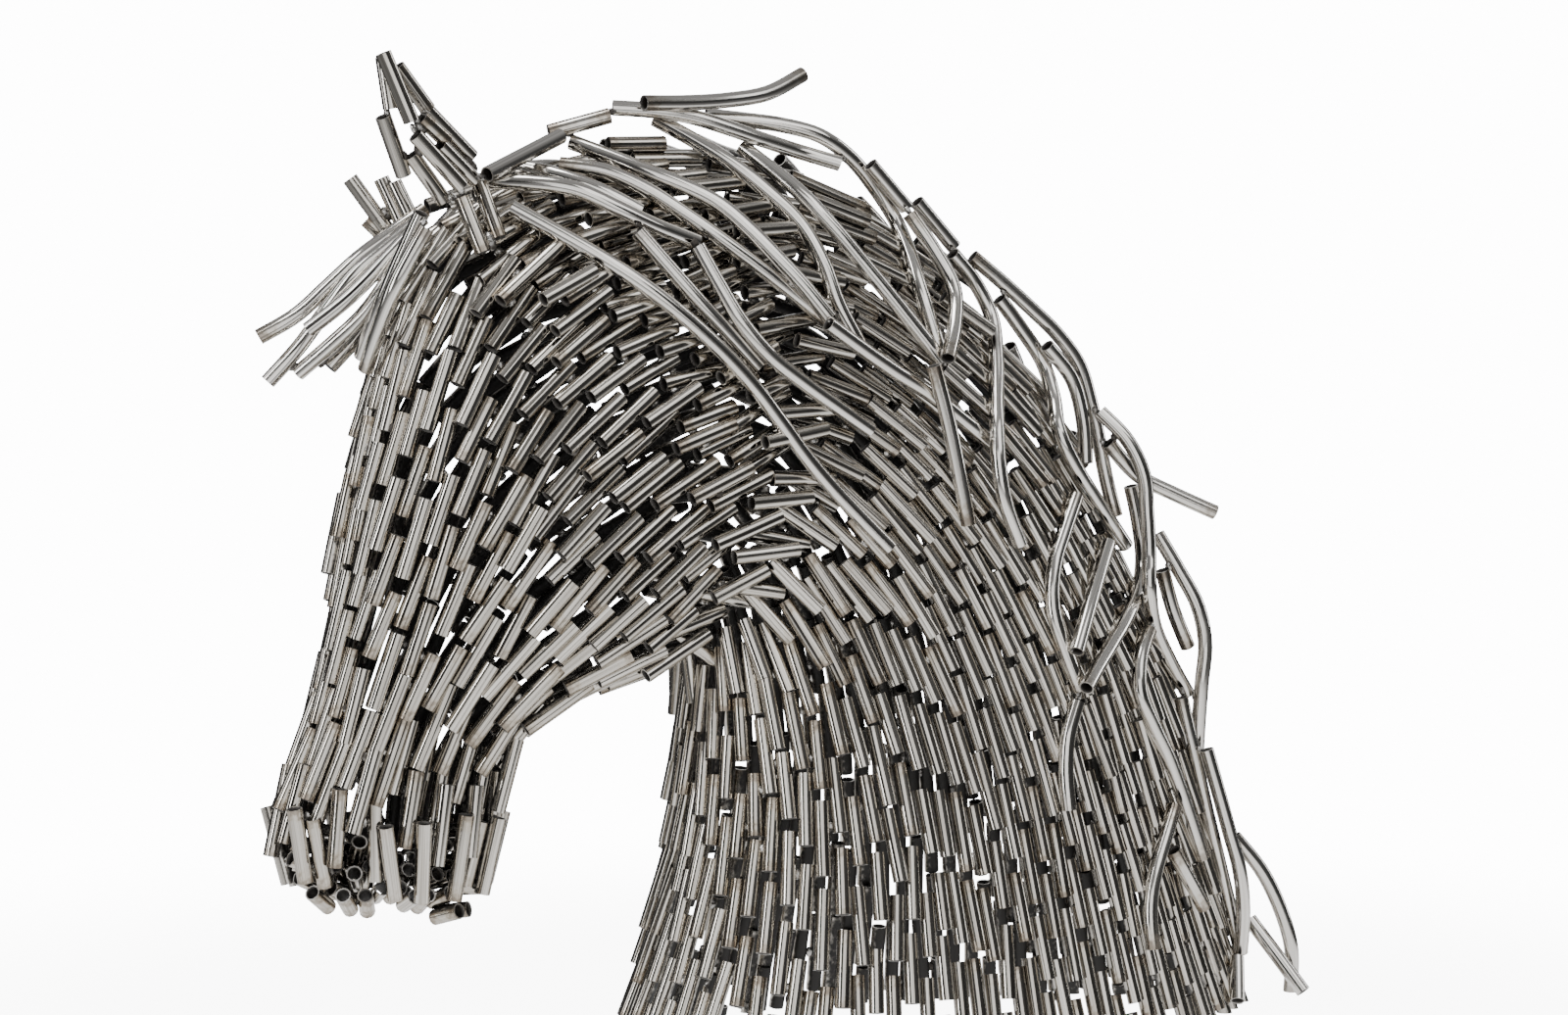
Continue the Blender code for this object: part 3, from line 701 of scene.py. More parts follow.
paths = [path for path in (column_path(column) for column in columns) if path is not None]
paths = [path for path in paths if path["run"][-1] > SHORT_LENGTH * SHORTEST_PATH]
print("columns long enough for a tube:", len(paths))

# %% Stringing the tubes, and letting them slide
SLIDING_ROUNDS = 40
REACH_ACROSS = 1.6 * COLUMN_STEP
PUSH_SHARE = 0.22
EVEN_SHARE = 0.25
LEAST_STEP = SHORT_LENGTH + 0.005
END_SHARE = 0.42
FIRST_START = 0.2
BOND_SHIFT = 0.6


def string_tubes():
    """Distances along each path of its tubes' middles, evenly spaced."""
    strung = []
    for number, path in enumerate(paths):
        whole = path["run"][-1]
        count = max(1, int(round((whole + COURSE_STEP - SHORT_LENGTH) / COURSE_STEP)))
        slack = whole - (count - 1) * COURSE_STEP - SHORT_LENGTH
        start = FIRST_START + BOND_SHIFT * (number % 2)
        shift = SHORT_LENGTH / 2 + max(slack, 0) * start
        step = min(COURSE_STEP, (whole - SHORT_LENGTH * 0.9) / max(count - 1, 1))
        strung.append(shift + np.arange(count) * step)
    return strung


def search_tree(points):
    """A tree that finds the points near a place."""
    tree = KDTree(len(points))
    for index, point in enumerate(points):
        tree.insert(point, index)
    tree.balance()
    return tree


def slide(strung):
    """Slides every tube along its column, away from the middles of the tubes beside it."""
    owner = np.concatenate([[k] * len(row) for k, row in enumerate(strung)]).astype(int)
    for turn in range(SLIDING_ROUNDS):
        middles, ahead, behind = (
            np.array([along_path(paths[k], run + further) for k, row in enumerate(strung) for run in row])
            for further in (0.0, 0.01, -0.01))
        ways = unit(ahead - behind)
        tree = search_tree(middles)
        push = np.zeros(len(middles))
        for index, middle in enumerate(middles):
            for _, other, _ in tree.find_range(middle, COURSE_STEP * 0.6):
                if owner[other] == owner[index]:
                    continue
                apart = middles[other] - middle
                along = float(apart @ ways[index])
                across = math.sqrt(max(float(apart @ apart) - along * along, 0))
                if across < REACH_ACROSS and abs(along) < COURSE_STEP / 2:
                    strength = min(1.0, 2 * (1 - across / REACH_ACROSS))
                    push[index] -= math.copysign(COURSE_STEP / 2 - abs(along), along) * strength
        at = 0
        for k, row in enumerate(strung):
            moved = row + PUSH_SHARE * push[at:at + len(row)]
            at += len(row)
            inner = np.concatenate([[moved[0] - COURSE_STEP], moved, [moved[-1] + COURSE_STEP]])
            moved = moved + EVEN_SHARE * ((inner[:-2] + inner[2:]) / 2 - moved)
            for i in range(1, len(moved)):
                moved[i] = max(moved[i], moved[i - 1] + LEAST_STEP)
            over = moved[-1] - (paths[k]["run"][-1] - SHORT_LENGTH * END_SHARE)
            if over > 0:
                moved = moved - over
            strung[k] = np.maximum(moved, SHORT_LENGTH * END_SHARE)
    return strung


stations = slide(string_tubes())
print("short tubes on the skin:", sum(len(row) for row in stations))

# %% [markdown]
# ## Straight tubes on a curved skin
# Each offcut is straight, so on a bend it is a chord of its column: both ends on the path, moved
# out by a little over half of what the chord cuts off. No two were set down alike, so each gets
# its own length, a slight twist and a slight tilt. Their lower ends stand out a little, as
# shingles do. On the muzzle, the crest and the far side they are longer, so that less light
# comes through.

# %% One record for each short tube
HEAD_SHINGLE = math.radians(3.0)
NECK_SHINGLE = math.radians(6.0)
CLOSE_LAID = 3.2
HIDDEN_SIDE = 0.02
CREST_RISE = 0.35
CLOSE_SHARE = 1.12
HIDDEN_SHARE = 1.17
LENGTH_SPREAD = 0.07
SHORTEST_SHARE = 0.7
SIDE_LEAN = math.radians(1.5)
OUT_LEAN = math.radians(1.1)
BULGE_SHARE = 0.4
LIFTS = (-0.0024, 0.0010)


def lay_tubes():
    """Ends, outward direction and place of every short tube."""
    tails, heads, outs, places, owners = [], [], [], [], []
    for number, (path, row) in enumerate(zip(paths, stations)):
        for index, run in enumerate(row):
            length = SHORT_LENGTH * (1 + LENGTH_SPREAD * float(np.clip(chance.normal(), -1.8, 1.8)))
            if index + 1 < len(row):
                length = min(length, 2 * (row[index + 1] - run) - SHORT_LENGTH - 0.004)
            length = max(length, SHORT_LENGTH * SHORTEST_SHARE)
            if places_at(path, run) < CLOSE_LAID:
                length = length * CLOSE_SHARE
            elif along_path(path, run)[1] > HIDDEN_SIDE or outward_at(path, run)[2] > CREST_RISE:
                length = length * HIDDEN_SHARE
            tail = along_path(path, run - length / 2)
            head = along_path(path, run + length / 2)
            middle = along_path(path, run)
            bulge = middle - (tail + head) / 2
            out = outward_at(path, run)
            way = unit(head - tail)
            side = unit(np.cross(out, way))
            out = np.cross(way, side)
            lean = side * math.tan(SIDE_LEAN * float(chance.normal()))
            lean = lean + out * math.tan(OUT_LEAN * float(chance.normal()))
            neck_share = float(ease((places_at(path, run) - SEAM_PLACE + 1) / 2))
            shingle = HEAD_SHINGLE + (NECK_SHINGLE - HEAD_SHINGLE) * neck_share
            lean = lean - out * math.tan(shingle) * float(np.clip(way[2] * 3, -1, 1))
            centre = middle - bulge * BULGE_SHARE + out * float(chance.uniform(*LIFTS))
            half = unit(way + lean) * length / 2
            tails.append(centre - half)
            heads.append(centre + half)
            outs.append(out)
            places.append(places_at(path, run))
            owners.append(number)
    return tails, heads, outs, places, owners


rows_laid = lay_tubes()

# %% [markdown]
# The muzzle is closed by stubs. Under each column one stub turns in below the lip, and two small
# rings of stubs fill the underside. The nearer a stub's mouth looks to the viewer's way, the more
# it looks up as well, so that its bore shows dark and nothing shines through it.

# %% The stubs of the muzzle
STUB_LENGTH = 0.032
LOW_STUB_LENGTH = STUB_LENGTH * 0.85
DEEP_ENOUGH = 0.012
STUB_RISE = math.radians(38)
LOW_STUB_RISE = math.radians(29)
BELOW_COLUMN = 0.009
CHIN_LIFT = 0.026
UNDERSIDE_DEPTH = 0.003
UNDERSIDE_RINGS = ((1.12, 13, math.radians(31)), (0.78, 9, math.radians(29)))


def add_stub(mouth, outward, rise, length):
    """One stub whose mouth looks outwards and up by an angle."""
    level = unit(np.array([outward[0], outward[1], 0.0]))
    upright = np.array([0.0, 0.0, 1.0])
    rise = rise * max(float(level @ TOWARDS_VIEWER), 0.0)
    axis = level * math.cos(rise) + upright * math.sin(rise)
    shown_side = level * math.sin(rise) - upright * math.cos(rise)
    for table, value in zip(rows_laid, (mouth - axis * length, mouth, shown_side, 0.5, -len(rows_laid[0]))):
        table.append(value)


def close_muzzle():
    """Adds a stub under each column that starts at the muzzle, and the rings underneath."""
    count = 0
    for path, row in zip(paths, stations):
        if path["places"][0] > FIRST_RING + 0.01:
            continue
        below = row[0] - SHORT_LENGTH / 2 - BELOW_COLUMN
        start = path["points"][0]
        onward = unit(path["points"][3] - start)
        mouth = along_path(path, below) if below > 0 else start + onward * below * 0.2
        outward = outward_at(path, max(below, 0))
        rise, length = (STUB_RISE, STUB_LENGTH) if below > DEEP_ENOUGH else (LOW_STUB_RISE, LOW_STUB_LENGTH)
        add_stub(mouth + outward * 0.002, outward, rise * chance.uniform(0.8, 1.2), length)
        count += 1
    for place, number, rise in UNDERSIDE_RINGS:
        for k in range(number):
            spot, outward = column_skin(np.array((k + 0.5) / number), np.array(place), TUBE_RADIUS)
            mouth = spot - outward * UNDERSIDE_DEPTH
            mouth[2] += CHIN_LIFT * max(outward[0], 0.0)
            add_stub(mouth, outward, rise * chance.uniform(0.85, 1.2), LOW_STUB_LENGTH)
            count += 1
    return count


print("stubs at the muzzle:", close_muzzle())
tails, heads, outs, tube_places, owners = (np.array(table) for table in rows_laid)

# %% [markdown]
# Where two tubes would share the same steel, they are eased apart, which leaves some standing
# proud of the others, as on the real skin.

# %% Easing the tubes apart
EASING_ROUNDS = 24
EASING_REACH = 0.062
EASING_SHARE = 0.3
EASED_GAP = 0.0002


def nearest_gaps(a0, a1, b0, b1):
    """For pairs of straight lines: their least distance, the way across, and where it is on each."""
    run, reach, offset = a1 - a0, b1 - b0, a0 - b0
    a, e, b = (np.sum(p * q, -1) for p, q in ((run, run), (reach, reach), (run, reach)))
    c, f = np.sum(run * offset, -1), np.sum(reach * offset, -1)
    s = np.clip((b * f - c * e) / np.maximum(a * e - b * b, 1e-15), 0, 1)
    t = np.clip((b * s + f) / e, 0, 1)
    s = np.clip((b * t - c) / a, 0, 1)
    apart = offset + run * s[:, None] - reach * t[:, None]
    return np.linalg.norm(apart, axis=1), apart, s, t


def neighbour_pairs(reach):
    """Pairs of short tubes of different columns whose middles are near each other."""
    middles = (tails + heads) / 2
    tree = search_tree(middles)
    pairs = [(i, j) for i, middle in enumerate(middles) for _, j, _ in tree.find_range(middle, reach)
             if j > i and owners[i] != owners[j]]
    return np.array(pairs)


pairs = neighbour_pairs(EASING_REACH)
for turn in range(EASING_ROUNDS):
    first, second = pairs[:, 0], pairs[:, 1]
    gaps, apart, _, _ = nearest_gaps(tails[first], heads[first], tails[second], heads[second])
    short = np.maximum(TUBE_DIAMETER + EASED_GAP - gaps, 0)
    move = apart / np.maximum(gaps, 1e-6)[:, None] * (EASING_SHARE * short)[:, None]
    shift = np.zeros_like(tails)
    np.add.at(shift, first, move)
    np.add.at(shift, second, -move)
    tails, heads = tails + shift, heads + shift
print("pairs that still share steel by 1 mm:", int(np.sum(gaps < TUBE_DIAMETER - 0.001)), "of", len(pairs))

# %% [markdown]
# ## The middle lines of the long tubes
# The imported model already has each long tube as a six-sided rod, so its middle line is read from
# there: the rod's corners come in rings of six, and the middle of each ring is a point of the line.

# %% The middle line of a rod
def middle_line(node):
    """The middle points of a rod's rings, in order from one end to the other."""
    corners = np.unique(np.round([vert.co for vert in nodes[node].data.vertices], 6), axis=0)
    rings = []
    left = list(range(len(corners)))
    while left:
        near = [k for k in left if np.linalg.norm(corners[k] - corners[left[0]]) < TUBE_DIAMETER * 1.04]
        rings.append(corners[near].mean(axis=0))
        left = [k for k in left if k not in near]
    rings = np.array(rings)
    spread = np.linalg.norm(rings[:, None] - rings[None], axis=-1)
    order = [int(np.unravel_index(np.argmax(spread), spread.shape)[0])]
    while len(order) < len(rings):
        away = spread[order[-1]].copy()
        away[order] = math.inf
        order.append(int(np.argmin(away)))
    return rings[order]


long_lines = {node: middle_line(node) for node in sorted(nodes) if "_tube_" in node}
print("middle lines:", len(long_lines))

# %% [markdown]
# ## A second layer on the poll
# Behind the ears the real skin is two tubes thick in places: more offcuts were laid into the
# grooves of the first layer, wherever the mane leaves room. Each is tried a little further out
# until it lies clear of every other tube, and left out if it never does.

# %% Short tubes in the grooves of the poll
LAYER_PLACES = (7.0, 11.0)
LAYER_RISE = 0.30
LAYER_FAR_SIDE = 0.06
LAYER_LIFTS = (0.0108, 0.0120, 0.0132, 0.0145, 0.0158)
LAYER_OVERLAP = 0.0006
LAYER_OWNER = -1000

layer_chance = np.random.default_rng(5)
long_starts = np.concatenate([line[:-1] for line in long_lines.values()])
long_ends = np.concatenate([line[1:] for line in long_lines.values()])


def second_layer():
    """Ends, outward directions and places of the tubes of the second layer."""
    starts, ends = np.vstack([tails, long_starts]), np.vstack([heads, long_ends])
    added = [[], [], [], []]
    for index in range(len(tails)):
        middle = (tails[index] + heads[index]) / 2
        out = outs[index]
        if not LAYER_PLACES[0] < tube_places[index] < LAYER_PLACES[1] or out[2] < LAYER_RISE:
            continue
        if middle[1] > LAYER_FAR_SIDE:
            continue
        way = heads[index] - tails[index]
        length = np.linalg.norm(way)
        way = way / length
        side = np.cross(out, way)
        slid = way * float(layer_chance.uniform(-0.5, 0.5)) * SHORT_LENGTH
        twist = side * float(layer_chance.uniform(-0.06, 0.06))
        half = (way + twist) * length * float(layer_chance.uniform(0.36, 0.48))
        for lift in LAYER_LIFTS:
            centre = middle + slid + side * COLUMN_STEP / 2 + out * lift
            foot, tip = (np.broadcast_to(end, starts.shape) for end in (centre - half, centre + half))
            gaps, _, _, _ = nearest_gaps(foot, tip, starts, ends)
            if gaps.min() > TUBE_DIAMETER - LAYER_OVERLAP:
                for table, value in zip(added, (foot[0], tip[0], out, tube_places[index])):
                    table.append(value)
                starts, ends = np.vstack([starts, foot[:1]]), np.vstack([ends, tip[:1]])
                break
    return [np.array(table) for table in added]


layer_tails, layer_heads, layer_outs, layer_places = second_layer()
layer_owners = LAYER_OWNER - np.arange(len(layer_tails))
tails, heads = np.vstack([tails, layer_tails]), np.vstack([heads, layer_heads])
outs, tube_places = np.vstack([outs, layer_outs]), np.append(tube_places, layer_places)
owners = np.append(owners, layer_owners)
print("tubes of the second layer:", len(layer_tails))

# %% [markdown]
# ## One tube, made straight
# Every tube of this work is the same thing: a thin wall round a bore. Two open cylinders, one
# inside the other, are joined at both ends with Bridge Loops, which is also how a lathe hand would
# picture it. The tube remembers its own straight shape in an attribute, so that the steel's
# streaks can run along it however it is bent and placed later.

# %% A straight tube
CUT_END, BORE = 1, 2


def straight_tube(length, radius, sides, bays=1):
    """A hollow tube along Z, its middle at the origin, cut into bays along its length."""
    bm = bmesh.new()
    bmesh.ops.create_cone(bm, segments=sides, radius1=radius, radius2=radius, depth=length, cap_ends=False)
    outside = list(bm.faces)
    inner = radius - TUBE_WALL
    bmesh.ops.create_cone(bm, segments=sides, radius1=inner, radius2=inner, depth=length, cap_ends=False)
    bore = [face for face in bm.faces if face not in set(outside)]
    bmesh.ops.reverse_faces(bm, faces=bore)
    for face in bore:
        face.material_index = BORE
    for end in (-1, 1):
        rim = [edge for edge in bm.edges if all(vert.co.z * end > length * 0.49 for vert in edge.verts)]
        made = bmesh.ops.bridge_loops(bm, edges=rim)
        for face in made["faces"]:
            face.material_index = CUT_END
    if bays > 1:
        lengthwise = [edge for edge in bm.edges if edge.calc_length() > length * 0.5]
        bmesh.ops.subdivide_edges(bm, edges=lengthwise, cuts=bays - 1, use_grid_fill=True)
    bmesh.ops.recalc_face_normals(bm, faces=bm.faces)
    for face in bm.faces:
        face.smooth = face.material_index != CUT_END
    place = bm.verts.layers.float_vector.new("tube_place")
    look = bm.verts.layers.float_color.new("tube_look")
    for vert in bm.verts:
        vert[place] = vert.co
        vert[look] = (0.5, 0.5, 0.5, 1.0)
    return bm


SHORT_STEELS = (tube_steel, cut_steel, bore_steel)


def as_mesh(bm, name, steels):
    """A bmesh as a mesh in its steels, sharp at its cut ends."""
    mesh = bpy.data.meshes.new(name)
    bm.to_mesh(mesh)
    bm.free()
    mesh.set_sharp_from_angle(angle=math.radians(45))
    for steel in steels:
        mesh.materials.append(steel)
    return mesh


def as_piece(bm, name, steels, slot, *stands_for):
    """A finished piece of the bust that stands for the named solids."""
    item = bpy.data.objects.new(name, as_mesh(bm, name, steels))
    bpy.context.collection.objects.link(item)
    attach(item, "root")
    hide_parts(*stands_for)
    return item


pattern = as_mesh(straight_tube(1.0, TUBE_RADIUS, SIDES), "short_tube_pattern", SHORT_STEELS)
print("faces of one short tube:", len(pattern.polygons))

# %% [markdown]
# ## Setting the short tubes down
# The pattern tube is a metre long; each copy is squeezed to its own length, turned so that its Z
# runs along the column and its Y points out of the skin, and moved into place. The lowest course
# is sawn off flush with the ground: Bisect cuts it and Bridge Loops closes the sawn wall.

# %% Copies of the pattern
def place_of_tube(tail, head, out):
    """The matrix that takes the metre-long pattern to a tube between two ends."""
    way = Vector(head) - Vector(tail)
    length = way.length
    way.normalize()
    side = Vector(out).cross(way).normalized()
    up = way.cross(side)
    turned = Matrix((side, up, way)).transposed().to_4x4()
    return Matrix.Translation((Vector(tail) + Vector(head)) / 2) @ turned @ Matrix.Diagonal((1, 1, length, 1))


def add_tube(bm, tail, head, out, look):
    """Adds one short tube to a bmesh."""
    place = bm.verts.layers.float_vector["tube_place"]
    looks = bm.verts.layers.float_color["tube_look"]
    known = len(bm.verts)
    bm.from_mesh(pattern)
    bm.verts.ensure_lookup_table()
    added = bm.verts[known:]
    length = float(np.linalg.norm(np.array(head) - np.array(tail)))
    for vert in added:
        vert[place] = (vert.co.x, vert.co.y, vert.co.z * length)
        vert[looks] = (*look, length / 2 / LOOK_LENGTH)
    bmesh.ops.transform(bm, matrix=place_of_tube(tail, head, out), verts=added)


def saw_off(bm):
    """Cuts a tube at the ground and closes the sawn wall."""
    whole = list(bm.verts) + list(bm.edges) + list(bm.faces)
    cut = bmesh.ops.bisect_plane(bm, geom=whole, plane_co=(0, 0, 0), plane_no=(0, 0, -1),
                                 clear_outer=True)
    rims = [part for part in cut["geom_cut"] if isinstance(part, bmesh.types.BMEdge)]
    if rims:
        made = bmesh.ops.bridge_loops(bm, edges=rims)
        for face in made["faces"]:
            face.material_index = CUT_END


def new_bundle():
    """An empty bmesh that can take copies of the pattern."""
    bm = bmesh.new()
    bm.verts.layers.float_vector.new("tube_place")
    bm.verts.layers.float_color.new("tube_look")
    return bm


def random_look():
    """Three numbers of a tube's own: for its streaks, its tint and its painted shade and soot."""
    return tuple(float(v) for v in chance.uniform(0, 1, 3))


SHORTEST_SAWN = 0.008


def bundle_tubes(chosen):
    """A bmesh of the chosen short tubes, without what lies below the ground."""
    bm = new_bundle()
    for index in chosen:
        low = min(tails[index][2], heads[index][2]) - TUBE_RADIUS
        if low >= 0:
            add_tube(bm, tails[index], heads[index], outs[index], random_look())
        elif max(tails[index][2], heads[index][2]) > SHORTEST_SAWN:
            single = new_bundle()
            add_tube(single, tails[index], heads[index], outs[index], random_look())
            saw_off(single)
            mesh = bpy.data.meshes.new("sawn_tube")
            single.to_mesh(mesh)
            single.free()
            bm.from_mesh(mesh)
            bpy.data.meshes.remove(mesh)
    return bm


head_tubes = as_piece(bundle_tubes(np.nonzero(tube_places < SEAM_PLACE)[0]), "head_tubes",
                      SHORT_STEELS, "short_tube_steel", "head_and_neck")
neck_tubes = as_piece(bundle_tubes(np.nonzero(tube_places >= SEAM_PLACE)[0]), "neck_tubes",
                      SHORT_STEELS, "short_tube_steel", "head_and_neck")
print("faces:", len(head_tubes.data.polygons), len(neck_tubes.data.polygons))

# %% [markdown]
# ## The long tubes of the mane and the forelock
# Each was cut straight and then bent by hand. Here too a straight tube is made first, in short
# bays, and then bent along its middle line.

# %% Bending a tube along its line
BAY_LENGTH = 0.006
LONG_SIDES = 16
POINTS_PER_RING = 24
FAR_SIDE_TUBES = ["mane_tube_%02d" % number for number in range(40, 51)]


def fine_line(line):
    """Close points of a smooth line, and the distance of each along it."""
    fine = smooth(line, np.linspace(0, len(line) - 1, POINTS_PER_RING * len(line)))
    return fine, np.concatenate([[0], np.cumsum(np.linalg.norm(np.diff(fine, axis=0), axis=1))])


def bend(bm, line, length, unshaded_side):
    """Bends a straight tube along a smooth line of the given length, its Y to the side without painted shade.
    """
    fine, run = fine_line(line)
    ahead = unit(np.gradient(fine, axis=0))
    level = unshaded_side
    levels = []
    for way in ahead:
        level = unit(level - way * float(level @ way))
        levels.append(level)
    levels = np.array(levels)
    for vert in bm.verts:
        at = (vert.co.z / length + 0.5) * run[-1]
        middle, way, up = (read_at(at, run, table) for table in (fine, ahead, levels))
        side = np.cross(up, way)
        vert.co = Vector(middle + side * vert.co.x + up * vert.co.y)


def bent_tube(line, name, slot, node):
    """One long tube along a rod's middle line."""
    length = float(fine_line(line)[1][-1])
    bm = straight_tube(length, TUBE_RADIUS, LONG_SIDES, bays=max(4, round(length / BAY_LENGTH)))
    look = random_look()
    layer = bm.verts.layers.float_color["tube_look"]
    for vert in bm.verts:
        vert[layer] = (*look, length / 2 / LOOK_LENGTH)
    # The painted shade falls on the side towards the neck: away from the viewer on near tubes, towards it on
    # far ones.
    bend(bm, line, length, -TOWARDS_VIEWER if node in FAR_SIDE_TUBES else TOWARDS_VIEWER)
    return as_piece(bm, name, (lock_steel, cut_steel, bore_steel), slot, node)


for node, line in long_lines.items():
    bent_tube(line, node.replace("_tube_", "_long_tube_"), "long_tube_steel", node)
print("long tubes:", len(long_lines))

# %% [markdown]
# ## The ears
# Each ear is a small cluster of the same offcuts, leaning on each other up to a point. Their ends
# are listed in the drawing, each with the side it lies on; where the side is open, the end
# rests on the skin under it, found by sending a sight line onto the imported shell.

# %% Ends of the ears' tubes
NEAR_EAR = (
    ((491, 262), (471, 202), None, 62),
    ((507, 246), (488, 184), None, 50),
    ((471, 190), (424, 138), 62, 70),
    ((484, 184), (449, 148), 50, 64),
    ((453, 205), (420, 158), 46, 54),
    ((455, 143), (430, 120), 62, 68),
    ((481, 160), (435, 112), 42, 56),
    ((412, 179), (391, 119), 44, 58),
    ((420, 124), (391, 54), 72, 72),
    ((399, 111), (391, 58), 58, 60),
    ((437, 112), (405, 68), 58, 62),
)
FAR_EAR = (
    ((414, 236), (389, 182), -52, -62),
    ((404, 246), (386, 222), -62, -66),
    ((386, 222), (357, 182), -66, -74),
    ((394, 243), (374, 224), -72, -78),
    ((424, 232), (402, 186), -38, -48),
)
ABOVE_SHELL = 0.00045


def surface_of(node):
    """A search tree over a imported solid's surface."""
    mesh = nodes[node].data
    corners = [vert.co for vert in mesh.vertices]
    return BVHTree.FromPolygons(corners, [list(face.vertices) for face in mesh.polygons])


shell = surface_of("head_and_neck")


def ear_end(point, side):
    """The place of one end of an ear's tube."""
    if side is not None:
        return on_plane(point, side) - SHIFT
    line = Vector(sight_line(point))
    place, normal, _, _ = shell.ray_cast(Vector(EYE - SHIFT), line)
    if place is not None:
        return np.array(place + normal * TUBE_RADIUS)
    near, far = VIEW_DISTANCE - HEAD_LENGTH / 2, VIEW_DISTANCE + HEAD_LENGTH / 2
    tries = [Vector(EYE - SHIFT) + line * reach for reach in np.linspace(near, far, 121)]
    return np.array(min(tries, key=lambda spot: shell.find_nearest(spot)[3]))


def clear_of_shell(ends):
    """A straight tube moved out until it only touches the shell."""
    ends = np.array(ends)
    for turn in range(60):
        lift = np.zeros_like(ends)
        for share in np.linspace(0, 1, 7):
            spot = ends[0] * (1 - share) + ends[1] * share
            place, normal, _, gap = shell.find_nearest(Vector(spot))
            inside = (spot - np.array(place)) @ np.array(normal) < 0
            short = TUBE_RADIUS + ABOVE_SHELL + (gap if inside else -gap)
            if short > 0:
                lift[0] += np.array(normal) * short * (1 - share)
                lift[1] += np.array(normal) * short * share
        if not lift.any():
            break
        ends = ends + lift * 0.5
    return ends


# %% Ears
def make_ear(name, rows, node):
    """A cluster of short tubes; gives back their ends."""
    bm = new_bundle()
    ends = [clear_of_shell([ear_end(foot, foot_side), ear_end(tip, tip_side)])
            for foot, tip, foot_side, tip_side in rows]
    for foot, tip in ends:
        # Y towards the viewer, so the painted shade falls on the back of each ear tube.
        add_tube(bm, foot, tip, TOWARDS_VIEWER, random_look())
    as_piece(bm, name, (ear_steel, cut_steel, bore_steel), "short_tube_steel", node)
    return ends


near_ear = make_ear("left_ear_tubes", NEAR_EAR, "left_ear")
far_ear = make_ear("right_ear_tubes", FAR_EAR, "right_ear")
print("ear tubes:", len(near_ear) + len(far_ear))

# %% [markdown]
# ## Weld beads
# Wherever two tubes touch, a short bead of weld holds them, mostly in the groove behind, where
# the torch could reach from inside, and here and there a shiny blob in front. A bead is a small
# icosphere, pushed out of round in one of four ways and stretched along the groove. Where two of
# the ears' tubes miss each other by a few millimetres, a bigger bead fills the gap.

# %% One bead
def bead_pattern(kind):
    """A lump of weld metal of radius 1."""
    bm = bmesh.new()
    bmesh.ops.create_icosphere(bm, subdivisions=2, radius=1.0)
    for vert in bm.verts:
        vert.co *= 1 + 0.16 * float(np.sin(vert.co.x * 3.1 + kind * 2.0) * np.cos(vert.co.y * 2.7 + kind))
    for face in bm.faces:
        face.smooth = True
    mesh = bpy.data.meshes.new("bead_pattern")
    bm.to_mesh(mesh)
    bm.free()
    return mesh


bead_patterns = [bead_pattern(kind) for kind in range(4)]


def add_bead(bm, middle, way, out, size):
    """Adds a bead with its long side along the groove."""
    side = Vector(out).cross(Vector(way)).normalized()
    way = Vector(way).normalized()
    up = way.cross(side)
    turned = Matrix((side, up, way)).transposed().to_4x4()
    shape = Matrix.Diagonal((size * 0.8, size * 0.75, size * 1.25, 1))
    known = len(bm.verts)
    bm.from_mesh(bead_patterns[int(chance.integers(4))])
    bm.verts.ensure_lookup_table()
    place = Matrix.Translation(Vector(middle)) @ turned @ shape
    bmesh.ops.transform(bm, matrix=place, verts=bm.verts[known:])


# %% Beads between the short tubes
TOUCHING = TUBE_DIAMETER + 0.0016
BEAD_REACH = 0.055
SHORTEST_GROOVE = 0.008
WELDED_SHARE = 0.8
SHOWN_SHARE = 0.10
SHOWN_DEPTH = 0.30
HIDDEN_DEPTH = -0.42

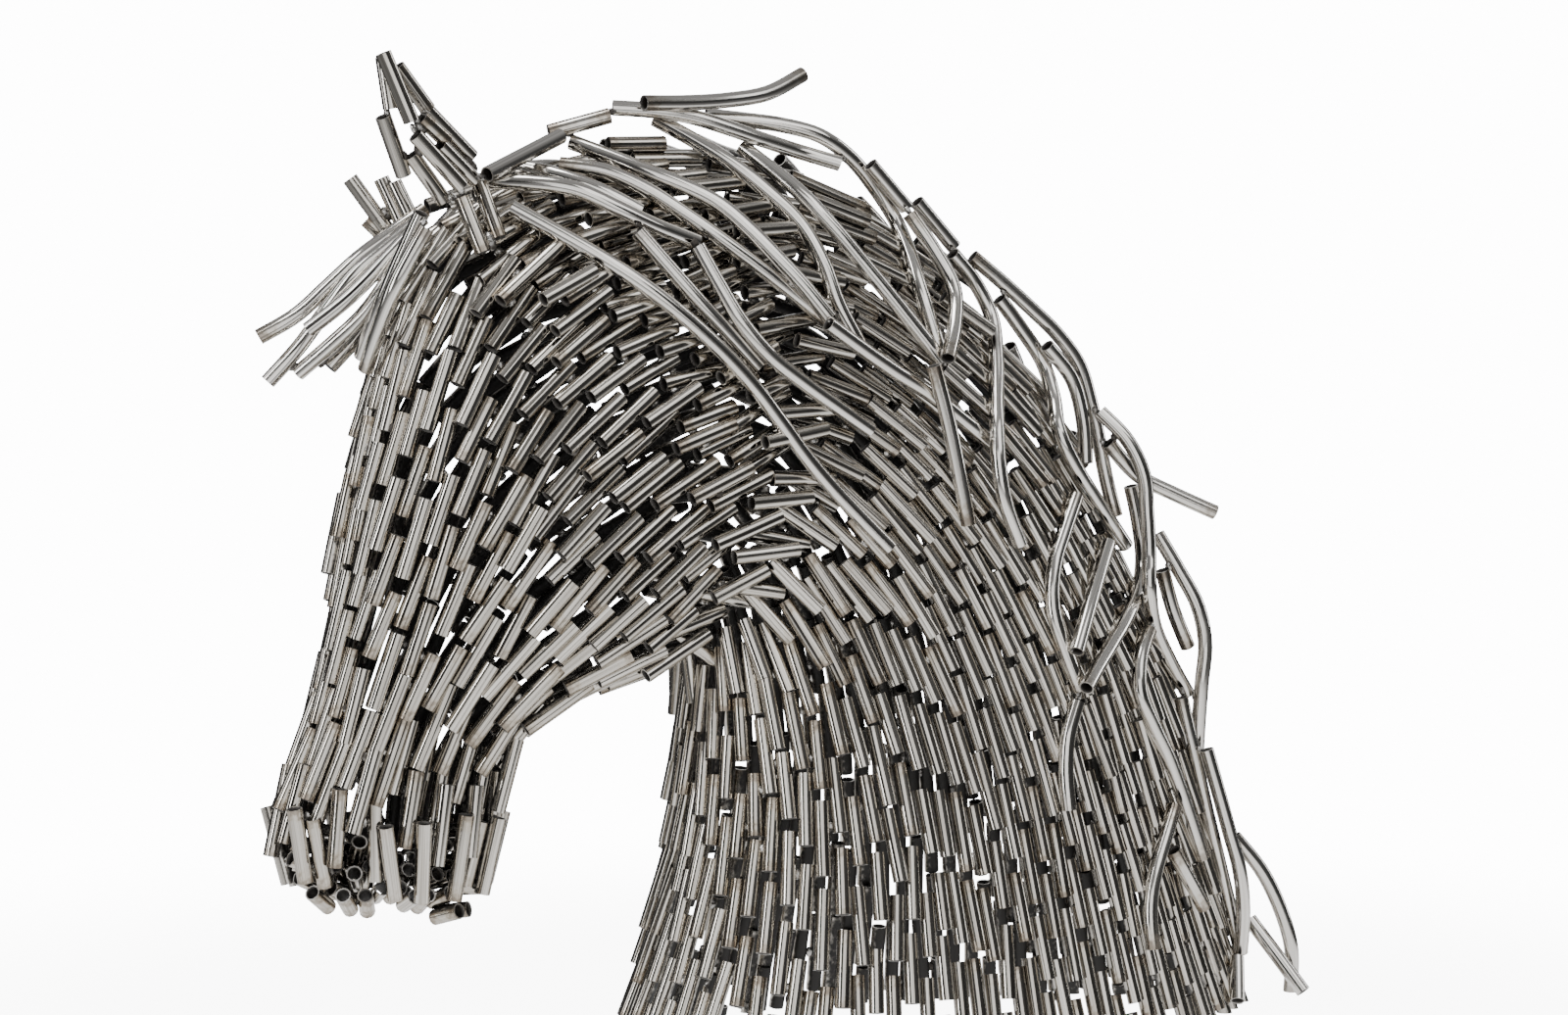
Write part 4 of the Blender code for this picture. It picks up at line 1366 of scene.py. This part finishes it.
bm = bmesh.new()
pairs = neighbour_pairs(BEAD_REACH)
first, second = pairs[:, 0], pairs[:, 1]
gaps, _, _, _ = nearest_gaps(tails[first], heads[first], tails[second], heads[second])
count = 0
for (i, j), gap in zip(pairs, gaps):
    if gap > TOUCHING or chance.uniform() > WELDED_SHARE:
        continue
    way = heads[i] - tails[i]
    length = np.linalg.norm(way)
    way = way / length
    along = np.sort([float((end - tails[i]) @ way) for end in (tails[j], heads[j])])
    low, high = max(along[0], 0.0), min(along[1], length)
    if high - low < SHORTEST_GROOVE:
        continue
    at = low + (high - low) * float(chance.choice([0.22, 0.78]))
    here = tails[i] + way * at
    other_way = unit(heads[j] - tails[j])
    there = tails[j] + other_way * float((here - tails[j]) @ other_way)
    out = unit(outs[i] + outs[j])
    shown = chance.uniform() < SHOWN_SHARE
    depth = SHOWN_DEPTH if shown else HIDDEN_DEPTH
    size = float(chance.uniform(0.0022, 0.0034)) * (1.0 if shown else 1.15)
    middle = (here + there) / 2 + out * depth * TUBE_RADIUS
    if middle[2] > size * 1.3:
        add_bead(bm, middle, way, out, size)
        count += 1
as_piece(bm, "shell_welds", (weld_steel,), "short_tube_steel", "head_and_neck")
print("beads between short tubes:", count)

# %% Beads that hold the ears together
EAR_GAP = 0.0062


def weld_ear(bm, ends):
    """Beads where the ear's tubes pass near each other."""
    ends = np.array(ends)
    count = 0
    for i in range(len(ends)):
        for j in range(i):
            one, other = ends[i:i + 1], ends[j:j + 1]
            gaps, apart, s, _ = nearest_gaps(one[:, 0], one[:, 1], other[:, 0], other[:, 1])
            room = gaps[0] - TUBE_DIAMETER
            if room > EAR_GAP:
                continue
            way = ends[i, 1] - ends[i, 0]
            middle = ends[i, 0] + way * s[0] - apart[0] / 2
            size = max(room, 0.0) / 2 + float(chance.uniform(0.0032, 0.0042))
            out = apart[0] / gaps[0] if gaps[0] > 1e-6 else TOWARDS_VIEWER
            add_bead(bm, middle, way, out, size)
            count += 1
    return count


bm = bmesh.new()
print("beads in the ears:", weld_ear(bm, near_ear), weld_ear(bm, far_ear))
as_piece(bm, "ear_welds", (weld_steel,), "short_tube_steel", "left_ear", "right_ear")

# %% Beads on the long tubes
LONG_TOUCHING = TUBE_DIAMETER + 0.0022

bm = bmesh.new()
lines = list(long_lines.values())
count = 0
for k, line in enumerate(lines):
    for other in lines[:k] + near_ear + far_ear:
        other = np.array(other)
        a0, a1, b0, b1 = line[:-1], line[1:], other[:-1], other[1:]
        p, q = np.repeat(np.arange(len(a0)), len(b0)), np.tile(np.arange(len(b0)), len(a0))
        gaps, apart, s, t = nearest_gaps(a0[p], a1[p], b0[q], b1[q])
        best = int(np.argmin(gaps))
        if gaps[best] > LONG_TOUCHING:
            continue
        here = a0[p[best]] + (a1[p[best]] - a0[p[best]]) * s[best]
        way = a1[p[best]] - a0[p[best]]
        middle = here - apart[best] / 2
        add_bead(bm, middle, way, apart[best] / gaps[best], float(chance.uniform(0.0028, 0.0042)))
        count += 1
as_piece(bm, "mane_welds", (weld_steel,), "long_tube_steel")
print("beads on long tubes:", count)
